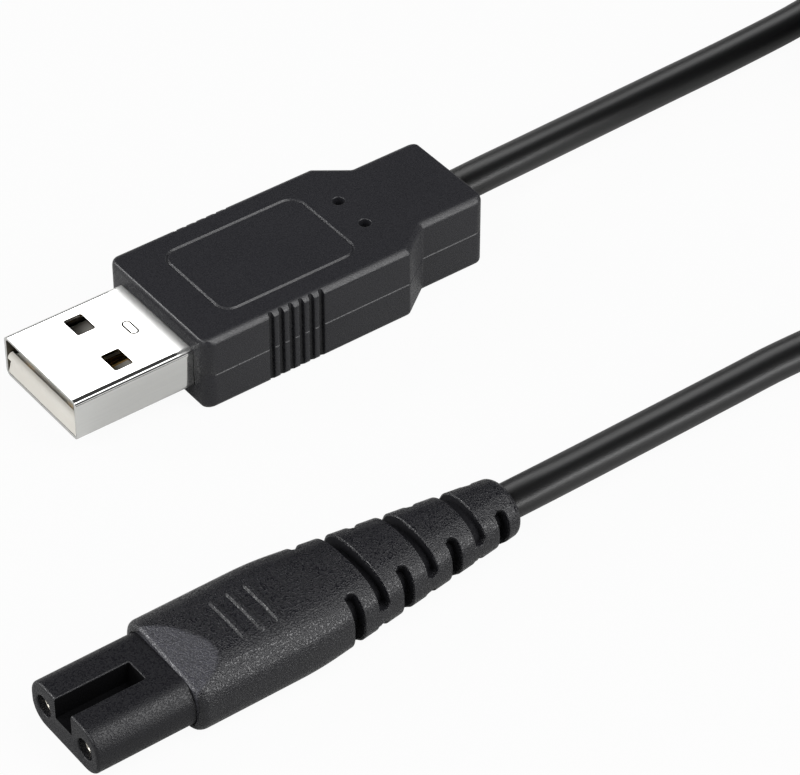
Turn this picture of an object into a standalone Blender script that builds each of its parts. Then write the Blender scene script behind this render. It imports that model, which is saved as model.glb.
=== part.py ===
"""Charging lead of a beard trimmer: a USB plug, a two-pole trimmer connector and the cord between them.

Metres, +Z up. +X runs along both connectors, from their mating faces to the cord. The origin is on
the table, under the middle of the box round the two connectors. Each connector is modelled on its
own axis: x = 0 at its mating face, z = 0 at the middle of its thickness.
"""
import math

import bmesh
import bpy
from mathutils import Vector

MM = 0.001

# Clearances
SEAT_GAP = 0.3 * MM
CORD_CLEARANCE = 0.2 * MM
CUT_MARGIN = 1.0 * MM

# Roundings that every piece shares
LEAST_CORNER = 0.25 * MM
LARGEST_CORNER_SHARE = 0.48
QUARTER_ROUND_ANGLES = (0, 30, 60, 90)
SHARP_EDGE_DEGREES = 35

# Cord
CORD_DIAMETER = 3.5 * MM
CORE_DIAMETER = 1.1 * MM
CORE_SPACING = 1.5 * MM
SOLDER_LENGTH = 1.2 * MM
SOLDER_DIAMETER = 1.4 * MM

# USB plug: shell, tongue and contacts
SHELL_WIDTH = 12.0 * MM
SHELL_HEIGHT = 4.5 * MM
SHELL_LENGTH = 18.75 * MM
SHELL_EXPOSED = 12.65 * MM
SHELL_WALL = 0.32 * MM
SHELL_CORNER = 0.6 * MM
SHELL_INNER_CORNER = 0.28 * MM
WINDOW_WIDTH = 2.6 * MM
WINDOW_LENGTH = 2.0 * MM
WINDOW_CENTRE_X = 6.35 * MM
WINDOW_SPACING = 6.2 * MM
DETENT_WIDTH = 1.8 * MM
DETENT_LENGTH = 0.8 * MM
DETENT_CENTRE_X = 9.85 * MM
TONGUE_THICKNESS = 1.9 * MM
TONGUE_SETBACK = 0.3 * MM
TONGUE_CHAMFER = 0.3 * MM
HEADER_LENGTH = 6.0 * MM
CONTACT_WIDTH = 1.0 * MM
CONTACT_THICKNESS = 0.25 * MM
CONTACT_TAIL = 1.8 * MM
OUTER_CONTACT_SPACING = 7.0 * MM
INNER_CONTACT_SPACING = 2.0 * MM
OUTER_CONTACT_SETBACK = 1.3 * MM
INNER_CONTACT_SETBACK = 2.3 * MM

# USB plug: inner mould and overmould
USB_INNER_LENGTH = 11.0 * MM
USB_SIDE_WALL = 1.7 * MM
USB_TOP_WALL = 1.45 * MM
USB_GRIP_LENGTH = 23.1 * MM
USB_NECK_LENGTH = 3.2 * MM
USB_NECK_STEP = 2.35 * MM
USB_TAIL_LENGTH = 7.4 * MM
USB_CORD_ASIDE = 0.6 * MM
USB_CORD_RISE = 0.6 * MM
USB_FRONT_CORNER = 1.2 * MM
USB_NECK_CORNER = 0.5 * MM
USB_TAIL_CORNER = 1.0 * MM
USB_EDGE_ROUND = 0.7 * MM
GROOVE_COUNT = 6
GROOVE_PITCH = 1.12 * MM
GROOVE_WIDTH = 0.62 * MM
GROOVE_DEPTH = 0.45 * MM
GROOVE_START = 7.4 * MM
PANEL_START = 4.1 * MM
PANEL_LENGTH = 15.2 * MM
PANEL_WIDTH = 10.4 * MM
PANEL_CORNER = 1.5 * MM
PANEL_LINE_WIDTH = 0.4 * MM
PANEL_LINE_DEPTH = 0.2 * MM
PIN_HOLE_DIAMETER = 1.25 * MM
PIN_HOLE_DEPTH = 1.2 * MM
PIN_HOLE_SPACING = 4.2 * MM
PIN_HOLE_CENTRE = 22.2 * MM

# Trimmer connector: nose and sockets
NOSE_WIDTH = 10.1 * MM
NOSE_HEIGHT = 4.7 * MM
NOSE_CORNER = 2.0 * MM
NOSE_EXPOSED = 9.7 * MM
NOSE_EDGE_ROUND = 0.35 * MM
NOSE_LIP = 0.6 * MM
WAIST_LENGTH = 2.4 * MM
WAIST_STEP = 0.9 * MM
FLANGE_LENGTH = 2.6 * MM
FLANGE_STEP = 0.4 * MM
KEY_SLOT_WIDTH = 2.45 * MM
KEY_SLOT_LENGTH = 7.3 * MM
KEY_SLOT_DEPTH = 2.2 * MM
SOCKET_SPACING = 6.15 * MM
SOCKET_DIAMETER = 1.9 * MM
SOCKET_BORE = 1.4 * MM
SOCKET_BORE_DEPTH = 9.0 * MM
SOCKET_SETBACK = 0.6 * MM
SOCKET_TAIL = 1.5 * MM
SOLDER_CUP_BORE = 1.2 * MM
SOLDER_CUP_DEPTH = 1.6 * MM

# Trimmer connector: inner mould and overmould with its slotted strain relief
TRIMMER_INNER_LENGTH = 9.0 * MM
TRIMMER_SIDE_STEP = 0.8 * MM
TRIMMER_UNDER_STEP = 0.55 * MM
TRIMMER_RISE = 3.95 * MM
TRIMMER_DOME_POWER = 2.45
TRIMMER_BODY_CORNER = 2.3 * MM
TRIMMER_BODY_LENGTH = 10.25 * MM
TRIMMER_LENGTH = 35.9 * MM
TAPER_EASE = 4.0 * MM
LIP_PLAN_ROUND = 1.0 * MM
LIP_EDGE_ROUND = 0.25 * MM
END_ROUND = 0.7 * MM
RELIEF_END_WIDTH = 5.7 * MM
RELIEF_END_RISE = 2.4 * MM
RELIEF_END_DROP = 2.7 * MM
RELIEF_END_CORNER = 2.55 * MM
RELIEF_END_DOME_POWER = 2.0
RELIEF_SLEEVE = 0.15 * MM
SLOT_DEPTH = 0.65 * MM
SIDE_SLOT_WIDTH = 1.25 * MM
SIDE_SLOT_REACH = 0.32
TOP_SLOT_WIDTH = 0.95 * MM
SLOT_FIRST = 16.5 * MM
SLOT_HALF_PITCH = 2.85 * MM
SLOT_END_MARGIN = 2.0 * MM
SIDE_WEB_HALF_HEIGHT = 0.8 * MM
GRIP_LINE_COUNT = 3
GRIP_LINE_FIRST = 6.4 * MM
GRIP_LINE_PITCH = 1.75 * MM
GRIP_LINE_LENGTH = 5.2 * MM
GRIP_LINE_WIDTH = 0.5 * MM
GRIP_LINE_RISE = 0.2 * MM
THUMB_FACET_LENGTH = 4.0 * MM
THUMB_FACET_DROP = 1.05 * MM

# How the two connectors lie on the table
AXIS_SPACING = 36.3 * MM
TRIMMER_AHEAD = 20.9 * MM

# Coil of the spare length, held by a tie
COIL_CENTRE_X = 102.0 * MM
COIL_CENTRE_Y = -2.8 * MM
COIL_OUTER_RADIUS = 27.0 * MM
COIL_TURN_PITCH = 4.2 * MM
COIL_LAYER_PITCH = 4.15 * MM
COIL_TURNS_A_LAYER = 3
COIL_CLIMB_TURNS = 0.5
COIL_POINTS_A_TURN = 24
TIE_WIDTH = 5.0 * MM
TIE_THICKNESS = 0.6 * MM
TIE_CORNER = 1.5 * MM

# Routes of the two straight leads between their connector and the coil, chosen by hand, in millimetres
USB_LEAD_ROUTE = [
    (38.5, 17.92, 4.55), (43.5, 18.4, 4.2), (49.5, 19.23, 3.55), (56.0, 20.18, 2.8),
    (63.5, 21.05, 2.15), (73.5, 21.65, 1.85), (83.5, 22.2, 1.95), (91.5, 23.5, 2.2),
]
TRIMMER_LEAD_ROUTE = [
    (16.0, -19.32, 3.0), (21.5, -18.96, 2.6), (27.5, -18.57, 2.2), (33.5, -18.26, 1.9),
    (39.5, -18.13, 1.82), (45.5, -18.1, 1.82), (52.0, -18.6, 1.82), (60.0, -20.6, 1.85),
    (70.0, -24.3, 2.3), (80.0, -27.5, 3.7), (90.0, -29.5, 5.5),
]
LEAD_POINT_SPACING = 8.0 * MM

# Sizes that follow from the values above
USB_WIDTH = SHELL_WIDTH + 2 * (SEAT_GAP + USB_SIDE_WALL)
USB_HEIGHT = SHELL_HEIGHT + 2 * (SEAT_GAP + USB_TOP_WALL)
USB_OVERMOULD_LENGTH = USB_GRIP_LENGTH + USB_NECK_LENGTH + USB_TAIL_LENGTH
USB_REAR = SHELL_EXPOSED + USB_OVERMOULD_LENGTH
USB_INNER_START = SHELL_LENGTH + SEAT_GAP
USB_INNER_END = USB_INNER_START + USB_INNER_LENGTH
TONGUE_TOP = -SHELL_HEIGHT / 2 + SHELL_WALL + SEAT_GAP + TONGUE_THICKNESS
CONTACT_MIDDLE = TONGUE_TOP - CONTACT_THICKNESS / 2
CONTACT_END = USB_INNER_START + CONTACT_TAIL

TRIMMER_WIDTH = NOSE_WIDTH + 2 * TRIMMER_SIDE_STEP
TRIMMER_DROP = NOSE_HEIGHT / 2 + TRIMMER_UNDER_STEP
TRIMMER_REAR = NOSE_EXPOSED + TRIMMER_LENGTH
WAIST_START = NOSE_EXPOSED + NOSE_LIP
FLANGE_START = WAIST_START + WAIST_LENGTH
NOSE_END = FLANGE_START + FLANGE_LENGTH
TRIMMER_INNER_START = NOSE_END + SEAT_GAP
TRIMMER_INNER_END = TRIMMER_INNER_START + TRIMMER_INNER_LENGTH
SOCKET_END = TRIMMER_INNER_START + SOCKET_TAIL

CORD_BORE = CORD_DIAMETER + 2 * CORD_CLEARANCE

# Places of the two connector axes, so that the box round both connectors is centred on the origin
BOX_FRONT = min(0.0, -TRIMMER_AHEAD)
BOX_REAR = max(USB_REAR, TRIMMER_REAR - TRIMMER_AHEAD)
USB_FRONT_X = -(BOX_FRONT + BOX_REAR) / 2
USB_AXIS_Y = (AXIS_SPACING + TRIMMER_WIDTH / 2 - USB_WIDTH / 2) / 2
USB_PLACE = Vector((USB_FRONT_X, USB_AXIS_Y, USB_HEIGHT / 2))
TRIMMER_PLACE = Vector((USB_FRONT_X - TRIMMER_AHEAD, USB_AXIS_Y - AXIS_SPACING, TRIMMER_DROP))


def clear_scene():
    for item in list(bpy.data.objects):
        bpy.data.objects.remove(item, do_unlink=True)


def make_material(name, colour, roughness, metallic=0.0):
    """A plain finish: linear colour, roughness and metallic value."""
    material = bpy.data.materials.new(name)
    material.use_nodes = True
    shader = material.node_tree.nodes["Principled BSDF"]
    shader.inputs["Base Color"].default_value = (*colour, 1.0)
    shader.inputs["Roughness"].default_value = roughness
    shader.inputs["Metallic"].default_value = metallic
    return material


def object_from(name, shape):
    """Turn a bmesh into an object with outward faces."""
    bmesh.ops.recalc_face_normals(shape, faces=shape.faces)
    mesh = bpy.data.meshes.new(name)
    shape.to_mesh(mesh)
    shape.free()
    item = bpy.data.objects.new(name, mesh)
    bpy.context.collection.objects.link(item)
    return item


def carve(target, cutter, operation="DIFFERENCE"):
    """Apply one exact Boolean to the target and remove the cutter."""
    step = target.modifiers.new("carve", "BOOLEAN")
    step.operation = operation
    step.solver = "EXACT"
    step.object = cutter
    graph = bpy.context.evaluated_depsgraph_get()
    result = bpy.data.meshes.new_from_object(target.evaluated_get(graph))
    target.modifiers.remove(step)
    target.data = result
    bpy.data.objects.remove(cutter, do_unlink=True)


def finish(item, material, axis=None):
    """Give a piece its material and smooth shading, and set it on its connector's axis."""
    item.data.materials.clear()
    item.data.materials.append(material)
    if item.type == "MESH":
        item.data.shade_smooth()
        item.data.set_sharp_from_angle(angle=math.radians(SHARP_EDGE_DEGREES))
    item.parent = axis
    return item


def rounded_rectangle(width, height, radius, steps=5):
    """Points (across, up) round a rectangle with four equal corner arcs."""
    radius = min(radius, LARGEST_CORNER_SHARE * min(width, height))
    points = []
    for quarter, (side_y, side_z) in enumerate(((1, 1), (-1, 1), (-1, -1), (1, -1))):
        centre_y = side_y * (width / 2 - radius)
        centre_z = side_z * (height / 2 - radius)
        for step in range(steps + 1):
            angle = math.pi / 2 * (quarter + step / steps)
            points.append((centre_y + radius * math.cos(angle), centre_z + radius * math.sin(angle)))
    return points


def section(x, width, height, radius):
    """A rounded rectangle standing square to the connector's axis."""
    return [Vector((x, y, z)) for y, z in rounded_rectangle(width, height, radius)]


def loft(name, sections, hollow=False):
    """Skin a row of sections with equal counts; a hollow loft runs back into its first section."""
    shape = bmesh.new()
    rings = [[shape.verts.new(point) for point in points] for points in sections]
    pairs = list(zip(rings, rings[1:]))
    if hollow:
        pairs.append((rings[-1], rings[0]))
    for ring, following in pairs:
        for index in range(len(ring)):
            after = (index + 1) % len(ring)
            shape.faces.new((ring[index], ring[after], following[after], following[index]))
    if not hollow:
        shape.faces.new(rings[0])
        shape.faces.new(rings[-1])
    return object_from(name, shape)


def block(name, low, high):
    """A box between two opposite corners."""
    shape = bmesh.new()
    bmesh.ops.create_cube(shape, size=1.0)
    low, high = Vector(low), Vector(high)
    for vert in shape.verts:
        vert.co = Vector([low[k] + (vert.co[k] + 0.5) * (high[k] - low[k]) for k in range(3)])
    return object_from(name, shape)


def join_cutters(name, items):
    """Put separate cutters into one object, so that one Boolean cuts them all."""
    shape = bmesh.new()
    for item in items:
        shape.from_mesh(item.data)
        bpy.data.objects.remove(item, do_unlink=True)
    return object_from(name, shape)


def circle(centre, radius, steps):
    """Points round a circle that stands square to the connector's axis."""
    angles = [2 * math.pi * step / steps for step in range(steps)]
    return [centre + radius * Vector((0.0, math.cos(angle), math.sin(angle))) for angle in angles]


def lathe(name, profile, centre_y=0.0, centre_z=0.0, steps=20):
    """Turn a profile of (x, radius) points about an axis along X; a radius of 0 is a pole."""
    shape = bmesh.new()
    rings = []
    for x, radius in profile:
        if radius == 0.0:
            rings.append([shape.verts.new((x, centre_y, centre_z))])
            continue
        ring = circle(Vector((x, centre_y, centre_z)), radius, steps)
        rings.append([shape.verts.new(point) for point in ring])
    for ring, following in zip(rings, rings[1:]):
        for index in range(steps):
            after = (index + 1) % steps
            corners = [ring[index % len(ring)], ring[after % len(ring)]]
            corners += [following[after % len(following)], following[index % len(following)]]
            shape.faces.new(list(dict.fromkeys(corners)))
    return object_from(name, shape)


def quarter_round(radius, degrees):
    """Inset and setback of a quarter-round edge at an angle: 0 at its face, 90 where it meets the side."""
    angle = math.radians(degrees)
    return radius * (1 - math.sin(angle)), radius * (1 - math.cos(angle))


def upright_prism(name, outline, bottom, top):
    """Extrude an outline of (x, y) points from one height to another."""
    return loft(name, [[Vector((x, y, z)) for x, y in outline] for z in (bottom, top)])


def obround(centre_x, centre_y, length_x, width_y, steps=5):
    """A rectangle with fully rounded ends, in plan."""
    points = rounded_rectangle(length_x, width_y, min(length_x, width_y) / 2, steps)
    return [(centre_x + x, centre_y + y) for x, y in points]


def inset_corners(corners, distance):
    """Move every side of a polygon inwards by the same distance."""
    moved = []
    for index, corner in enumerate(corners):
        before = (corner - corners[index - 1]).normalized()
        after = (corners[(index + 1) % len(corners)] - corner).normalized()
        normal_before = Vector((-before.y, before.x))
        normal_after = Vector((-after.y, after.x))
        reach = distance / (1 + normal_before.dot(normal_after))
        moved.append(corner + reach * (normal_before + normal_after))
    return moved


def filleted(corners, radii, steps=4):
    """Round every corner of an anticlockwise polygon with its own radius."""
    points = []
    for index, corner in enumerate(corners):
        to_before = (corners[index - 1] - corner).normalized()
        to_after = (corners[(index + 1) % len(corners)] - corner).normalized()
        half_angle = to_before.angle(to_after) / 2
        start = corner + to_before * radii[index] / math.tan(half_angle)
        end = corner + to_after * radii[index] / math.tan(half_angle)
        centre = corner + (to_before + to_after).normalized() * radii[index] / math.sin(half_angle)
        for step in range(steps + 1):
            share = step / steps
            chord = start.lerp(end, share)
            points.append(centre + (chord - centre).normalized() * radii[index])
    return points


def smooth_route(points, spacing):
    """Read evenly spaced points from a smooth curve through the given points."""
    padded = [2 * points[0] - points[1], *points, 2 * points[-1] - points[-2]]
    curve = [points[0]]
    for p0, p1, p2, p3 in zip(padded, padded[1:], padded[2:], padded[3:]):
        count = max(1, round((p2 - p1).length / spacing))
        for step in range(1, count + 1):
            t = step / count
            curve.append(0.5 * (
                2 * p1 + (p2 - p0) * t + (2 * p0 - 5 * p1 + 4 * p2 - p3) * t ** 2
                + (3 * p1 - p0 - 3 * p2 + p3) * t ** 3
            ))
    return curve


def tube(name, points, diameter, resolution):
    """A round tube with closed ends along a row of points."""
    curve = bpy.data.curves.new(name, "CURVE")
    curve.dimensions = "3D"
    curve.bevel_depth = diameter / 2
    curve.bevel_resolution = resolution
    curve.use_fill_caps = True
    spline = curve.splines.new("POLY")
    spline.points.add(len(points) - 1)
    for spot, point in zip(spline.points, points):
        spot.co = (*point, 1.0)
    item = bpy.data.objects.new(name, curve)
    bpy.context.collection.objects.link(item)
    return item


def path_length(points):
    return sum((after - before).length for before, after in zip(points, points[1:]))


def make_axis(name, place):
    axis = bpy.data.objects.new(name, None)
    axis.location = place
    bpy.context.collection.objects.link(axis)
    return axis


# USB plug
def usb_shell():
    """Folded steel shell: an open tube with two latch windows above and below and one detent."""
    outer = (SHELL_WIDTH, SHELL_HEIGHT, SHELL_CORNER)
    inner = (SHELL_WIDTH - 2 * SHELL_WALL, SHELL_HEIGHT - 2 * SHELL_WALL, SHELL_INNER_CORNER)
    front = [section(0, *outer), section(0, *inner)]
    rear = [section(SHELL_LENGTH, *inner), section(SHELL_LENGTH, *outer)]
    shell = loft("usb_shell", front + rear, hollow=True)
    window_half = WINDOW_WIDTH / 2
    for side in (1, -1):
        middle = side * WINDOW_SPACING / 2
        low = (WINDOW_CENTRE_X - WINDOW_LENGTH / 2, middle - window_half, -SHELL_HEIGHT)
        high = (WINDOW_CENTRE_X + WINDOW_LENGTH / 2, middle + window_half, SHELL_HEIGHT)
        carve(shell, block("window", low, high))
    outline = obround(DETENT_CENTRE_X, 0.0, DETENT_LENGTH, DETENT_WIDTH)
    carve(shell, upright_prism("detent", outline, 0.0, SHELL_HEIGHT))
    return shell


def contact_places():
    """Across-place and setback of the four contacts, by name."""
    return {
        "power": (OUTER_CONTACT_SPACING / 2, OUTER_CONTACT_SETBACK),
        "data_minus": (INNER_CONTACT_SPACING / 2, INNER_CONTACT_SETBACK),
        "data_plus": (-INNER_CONTACT_SPACING / 2, INNER_CONTACT_SETBACK),
        "ground": (-OUTER_CONTACT_SPACING / 2, OUTER_CONTACT_SETBACK),
    }


def usb_insulator():
    """Tongue with a header block behind it; each contact lies in a groove that tunnels the header."""
    half_width = SHELL_WIDTH / 2 - SHELL_WALL - SEAT_GAP
    bottom = -SHELL_HEIGHT / 2 + SHELL_WALL + SEAT_GAP
    header_start = SHELL_LENGTH - HEADER_LENGTH
    profile = [
        (TONGUE_SETBACK, bottom), (SHELL_LENGTH, bottom), (SHELL_LENGTH, -bottom),
        (header_start, -bottom), (header_start, TONGUE_TOP),
        (TONGUE_SETBACK + TONGUE_CHAMFER, TONGUE_TOP), (TONGUE_SETBACK, TONGUE_TOP - TONGUE_CHAMFER),
    ]
    sides = [[Vector((x, y, z)) for x, z in profile] for y in (-half_width, half_width)]
    insulator = loft("usb_insulator", sides)
    groove_half = CONTACT_WIDTH / 2 + SEAT_GAP
    for middle, setback in contact_places().values():
        low = (setback - SEAT_GAP, middle - groove_half, TONGUE_TOP - CONTACT_THICKNESS - SEAT_GAP)
        high = (SHELL_LENGTH + CUT_MARGIN, middle + groove_half, TONGUE_TOP + SEAT_GAP)
        carve(insulator, block("contact_groove", low, high))
    return insulator


def usb_contact(name, middle, setback):
    """Plated strip, flush with the tongue, whose tail reaches into the inner mould."""
    low = (setback, middle - CONTACT_WIDTH / 2, TONGUE_TOP - CONTACT_THICKNESS)
    high = (CONTACT_END, middle + CONTACT_WIDTH / 2, TONGUE_TOP)
    return block("usb_contact_" + name, low, high)


def core_route(start, end, count=9):
    """Points from the cord's end to a terminal, leaving and arriving along the axis."""
    points = []
    for index in range(count):
        share = index / (count - 1)
        eased = share * share * (3 - 2 * share)
        across = start.y + (end.y - start.y) * eased
        up = start.z + (end.z - start.z) * eased
        points.append(Vector((start.x + (end.x - start.x) * share, across, up)))
    return points


def core_ends(side, cord_end, terminal_end, terminal_across, terminal_up):
    """Where a core leaves the cord and where it stops, short of its solder joint."""
    start = Vector((cord_end, side * CORE_SPACING / 2, 0.0))
    stop = terminal_end + SOLDER_LENGTH + 2 * SEAT_GAP
    return start, Vector((stop, side * terminal_across, terminal_up))


def core_channel(start, end, front, rear, diameter, steps=16):
    """Cutter round a core, its joint and its terminal, open at both faces of the inner mould."""
    route = core_route(start, end)
    rear_point = Vector((rear + CUT_MARGIN, start.y, start.z))
    front_point = Vector((front - CUT_MARGIN, end.y, end.z))
    rings = [circle(point, diameter / 2, steps) for point in [rear_point, *route, front_point]]
    return loft("core_channel", rings)


def solder_joint(name, terminal_end, across, up):
    """Bead of solder between a terminal and its core."""
    start = terminal_end + SEAT_GAP
    count = 6
    profile = [(start, 0.0)]
    for index in range(1, count):
        angle = math.pi * index / count
        along = SOLDER_LENGTH * (1 - math.cos(angle)) / 2
        profile.append((start + along, SOLDER_DIAMETER / 2 * math.sin(angle)))
    profile.append((start + SOLDER_LENGTH, 0.0))
    return lathe(name, profile, across, up, steps=12)


def inner_mould(name, start, end, size, terminal, channel_diameter):
    """Hard block moulded round the joints behind a connector, with a channel for each core."""
    terminal_end, across, up = terminal
    mould = loft(name, [section(start, *size), section(end, *size)])
    for side in (1, -1):
        core_start, core_end = core_ends(side, end, terminal_end, across, up)
        carve(mould, core_channel(core_start, core_end, start, end, channel_diameter))
    return mould


def usb_inner_mould():
    channel = max(SOLDER_DIAMETER, CORE_DIAMETER, CONTACT_WIDTH) + 2 * SEAT_GAP
    terminal = (CONTACT_END, OUTER_CONTACT_SPACING / 2, CONTACT_MIDDLE)
    size = (SHELL_WIDTH, SHELL_HEIGHT, SHELL_CORNER)
    mould = inner_mould("usb_inner_mould", USB_INNER_START, USB_INNER_END, size, terminal, channel)
    slot_half = CONTACT_WIDTH / 2 + SEAT_GAP
    for side in (1, -1):
        middle = side * INNER_CONTACT_SPACING / 2
        low = (USB_INNER_START - CUT_MARGIN, middle - slot_half, TONGUE_TOP - CONTACT_THICKNESS - SEAT_GAP)
        high = (CONTACT_END + SEAT_GAP, middle + slot_half, TONGUE_TOP + SEAT_GAP)
        carve(mould, block("tail_slot", low, high))
    return mould


def usb_plan(inset):
    """Plan of the USB overmould: grip, necked shoulders and tail, drawn in by an inset."""
    front = SHELL_EXPOSED
    grip_end = front + USB_GRIP_LENGTH
    tail_start = grip_end + USB_NECK_LENGTH
    half = USB_WIDTH / 2
    tail_half = half - USB_NECK_STEP
    near = [(front, -half), (grip_end, -half), (tail_start, -tail_half), (USB_REAR, -tail_half)]
    far = [(x, -y) for x, y in reversed(near)]
    corners = inset_corners([Vector(point) for point in near + far], inset)
    convex = [USB_FRONT_CORNER, USB_NECK_CORNER, USB_NECK_CORNER, USB_TAIL_CORNER]
    radii = [max(radius - inset, LEAST_CORNER) for radius in convex]
    radii[2] = USB_NECK_CORNER + inset
    return filleted(corners, radii + radii[::-1])


def panel_line():
    """Ring that engraves the frame of the panel in the top face."""
    middle = SHELL_EXPOSED + PANEL_START + PANEL_LENGTH / 2
    half = PANEL_LINE_WIDTH / 2
    floor, above = USB_HEIGHT / 2 - PANEL_LINE_DEPTH, USB_HEIGHT / 2 + CUT_MARGIN
    rings = []
    for grown, z in ((half, above), (half, floor), (-half, floor), (-half, above)):
        size = (PANEL_LENGTH + 2 * grown, PANEL_WIDTH + 2 * grown, PANEL_CORNER + grown)
        rings.append([Vector((middle + x, y, z)) for x, y in rounded_rectangle(*size)])
    return loft("panel_line", rings, hollow=True)


def usb_overmould():
    """Soft black grip: rounded edges, ribbed sides, a framed panel and two core-pin holes."""
    half = USB_HEIGHT / 2
    levels = []
    for angle in QUARTER_ROUND_ANGLES:
        inset, drop = quarter_round(USB_EDGE_ROUND, angle)
        levels.append((inset, half - drop))
    rows = [(inset, -z) for inset, z in levels] + [(inset, z) for inset, z in reversed(levels)]
    mould = loft("usb_overmould", [[Vector((p.x, p.y, z)) for p in usb_plan(inset)] for inset, z in rows])

    grooves = []
    for index in range(GROOVE_COUNT):
        centre = SHELL_EXPOSED + GROOVE_START + index * GROOVE_PITCH
        for side in (1, -1):
            outline = obround(centre, side * USB_WIDTH / 2, GROOVE_WIDTH, 2 * GROOVE_DEPTH)
            grooves.append(upright_prism("groove", outline, -USB_HEIGHT, USB_HEIGHT))
    carve(mould, join_cutters("grooves", grooves))

    carve(mould, panel_line())
    for side in (1, -1):
        place = (SHELL_EXPOSED + PIN_HOLE_CENTRE, side * PIN_HOLE_SPACING / 2)
        outline = obround(*place, PIN_HOLE_DIAMETER, PIN_HOLE_DIAMETER)
        carve(mould, upright_prism("pin_hole", outline, half - PIN_HOLE_DEPTH, half + CUT_MARGIN))

    pocket_size = (SHELL_WIDTH + 2 * SEAT_GAP, SHELL_HEIGHT + 2 * SEAT_GAP, SHELL_CORNER + SEAT_GAP)
    pocket_end = USB_INNER_END + SEAT_GAP
    pocket_ends = (SHELL_EXPOSED - CUT_MARGIN, pocket_end)
    carve(mould, loft("pocket", [section(x, *pocket_size) for x in pocket_ends]))
    carve(mould, cord_bore(pocket_end, USB_REAR, USB_CORD_ASIDE, USB_CORD_RISE))
    return mould


def cord_bore(start, end, aside=0.0, rise=0.0, sides=24):
    """Bore from the axis at one depth to where the cord leaves at another; it runs on past both."""
    rings = []
    for x in (start - CUT_MARGIN, end + CUT_MARGIN):
        share = (x - start) / (end - start)
        ring = []
        for side in range(sides):
            angle = 2 * math.pi * side / sides
            y = share * aside + CORD_BORE / 2 * math.cos(angle)
            z = share * rise + CORD_BORE / 2 * math.sin(angle)
            ring.append(Vector((x, y, z)))
        rings.append(ring)
    return loft("cord_bore", rings)


# Trimmer connector
def nose_size(step):
    """Width, height and corner radius of the nose, drawn in all round by a step."""
    return NOSE_WIDTH - 2 * step, NOSE_HEIGHT - 2 * step, max(NOSE_CORNER - step, LEAST_CORNER)


def trimmer_nose():
    """Hard contact carrier: keyed nose in front, waist and flange held inside the overmould."""
    sections = []
    for angle in QUARTER_ROUND_ANGLES:
        inset, setback = quarter_round(NOSE_EDGE_ROUND, angle)
        sections.append(section(setback, *nose_size(inset)))
    sections.append(section(WAIST_START, *nose_size(0)))
    sections.append(section(WAIST_START, *nose_size(WAIST_STEP)))
    sections.append(section(FLANGE_START, *nose_size(WAIST_STEP)))
    sections.append(section(FLANGE_START, *nose_size(FLANGE_STEP)))
    sections.append(section(NOSE_END, *nose_size(FLANGE_STEP)))
    nose = loft("trimmer_nose", sections)

    low = (-CUT_MARGIN, -KEY_SLOT_WIDTH / 2, NOSE_HEIGHT / 2 - KEY_SLOT_DEPTH)
    high = (KEY_SLOT_LENGTH, KEY_SLOT_WIDTH / 2, NOSE_HEIGHT)
    carve(nose, block("key_slot", low, high))

    radius = SOCKET_DIAMETER / 2 + SEAT_GAP
    start, end = -CUT_MARGIN, NOSE_END + CUT_MARGIN
    for side in (1, -1):
        profile = [(start, 0.0), (start, radius), (end, radius), (end, 0.0)]
        carve(nose, lathe("socket_hole", profile, side * SOCKET_SPACING / 2))
    return nose


def trimmer_socket(name, side):
    """Turned socket: bored in front for the trimmer's pin, with a solder cup behind."""
    radius = SOCKET_DIAMETER / 2
    bevel = (SOCKET_DIAMETER - SOCKET_BORE) / 4
    bore_end = SOCKET_SETBACK + SOCKET_BORE_DEPTH
    cup_start = SOCKET_END - SOLDER_CUP_DEPTH
    profile = [
        (bore_end, 0.0), (bore_end, SOCKET_BORE / 2), (SOCKET_SETBACK + bevel, SOCKET_BORE / 2),
        (SOCKET_SETBACK, SOCKET_BORE / 2 + bevel), (SOCKET_SETBACK, radius), (SOCKET_END, radius),
        (SOCKET_END, SOLDER_CUP_BORE / 2), (cup_start, SOLDER_CUP_BORE / 2), (cup_start, 0.0),
    ]
    return lathe(name, profile, side * SOCKET_SPACING / 2, steps=16)


def trimmer_inner_mould():
    channel = max(SOLDER_DIAMETER, CORE_DIAMETER, SOCKET_DIAMETER) + 2 * SEAT_GAP
    terminal = (SOCKET_END, SOCKET_SPACING / 2, 0.0)
    size = nose_size(FLANGE_STEP)
    ends = (TRIMMER_INNER_START, TRIMMER_INNER_END)
    return inner_mould("trimmer_inner_mould", *ends, size, terminal, channel)


def relief_size(depth):
    """Width, rise, drop, corner and dome power at a depth: parallel body, eased start, straight taper."""
    body = (TRIMMER_WIDTH, TRIMMER_RISE, TRIMMER_DROP, TRIMMER_BODY_CORNER, TRIMMER_DOME_POWER)
    end = (RELIEF_END_WIDTH, RELIEF_END_RISE, RELIEF_END_DROP, RELIEF_END_CORNER, RELIEF_END_DOME_POWER)
    run = max(depth - TRIMMER_BODY_LENGTH, 0.0)
    full_run = TRIMMER_LENGTH - TRIMMER_BODY_LENGTH - TAPER_EASE / 2
    travelled = run * run / (2 * TAPER_EASE) if run < TAPER_EASE else run - TAPER_EASE / 2
    share = travelled / full_run
    return [start + (stop - start) * share for start, stop in zip(body, end)]


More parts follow.
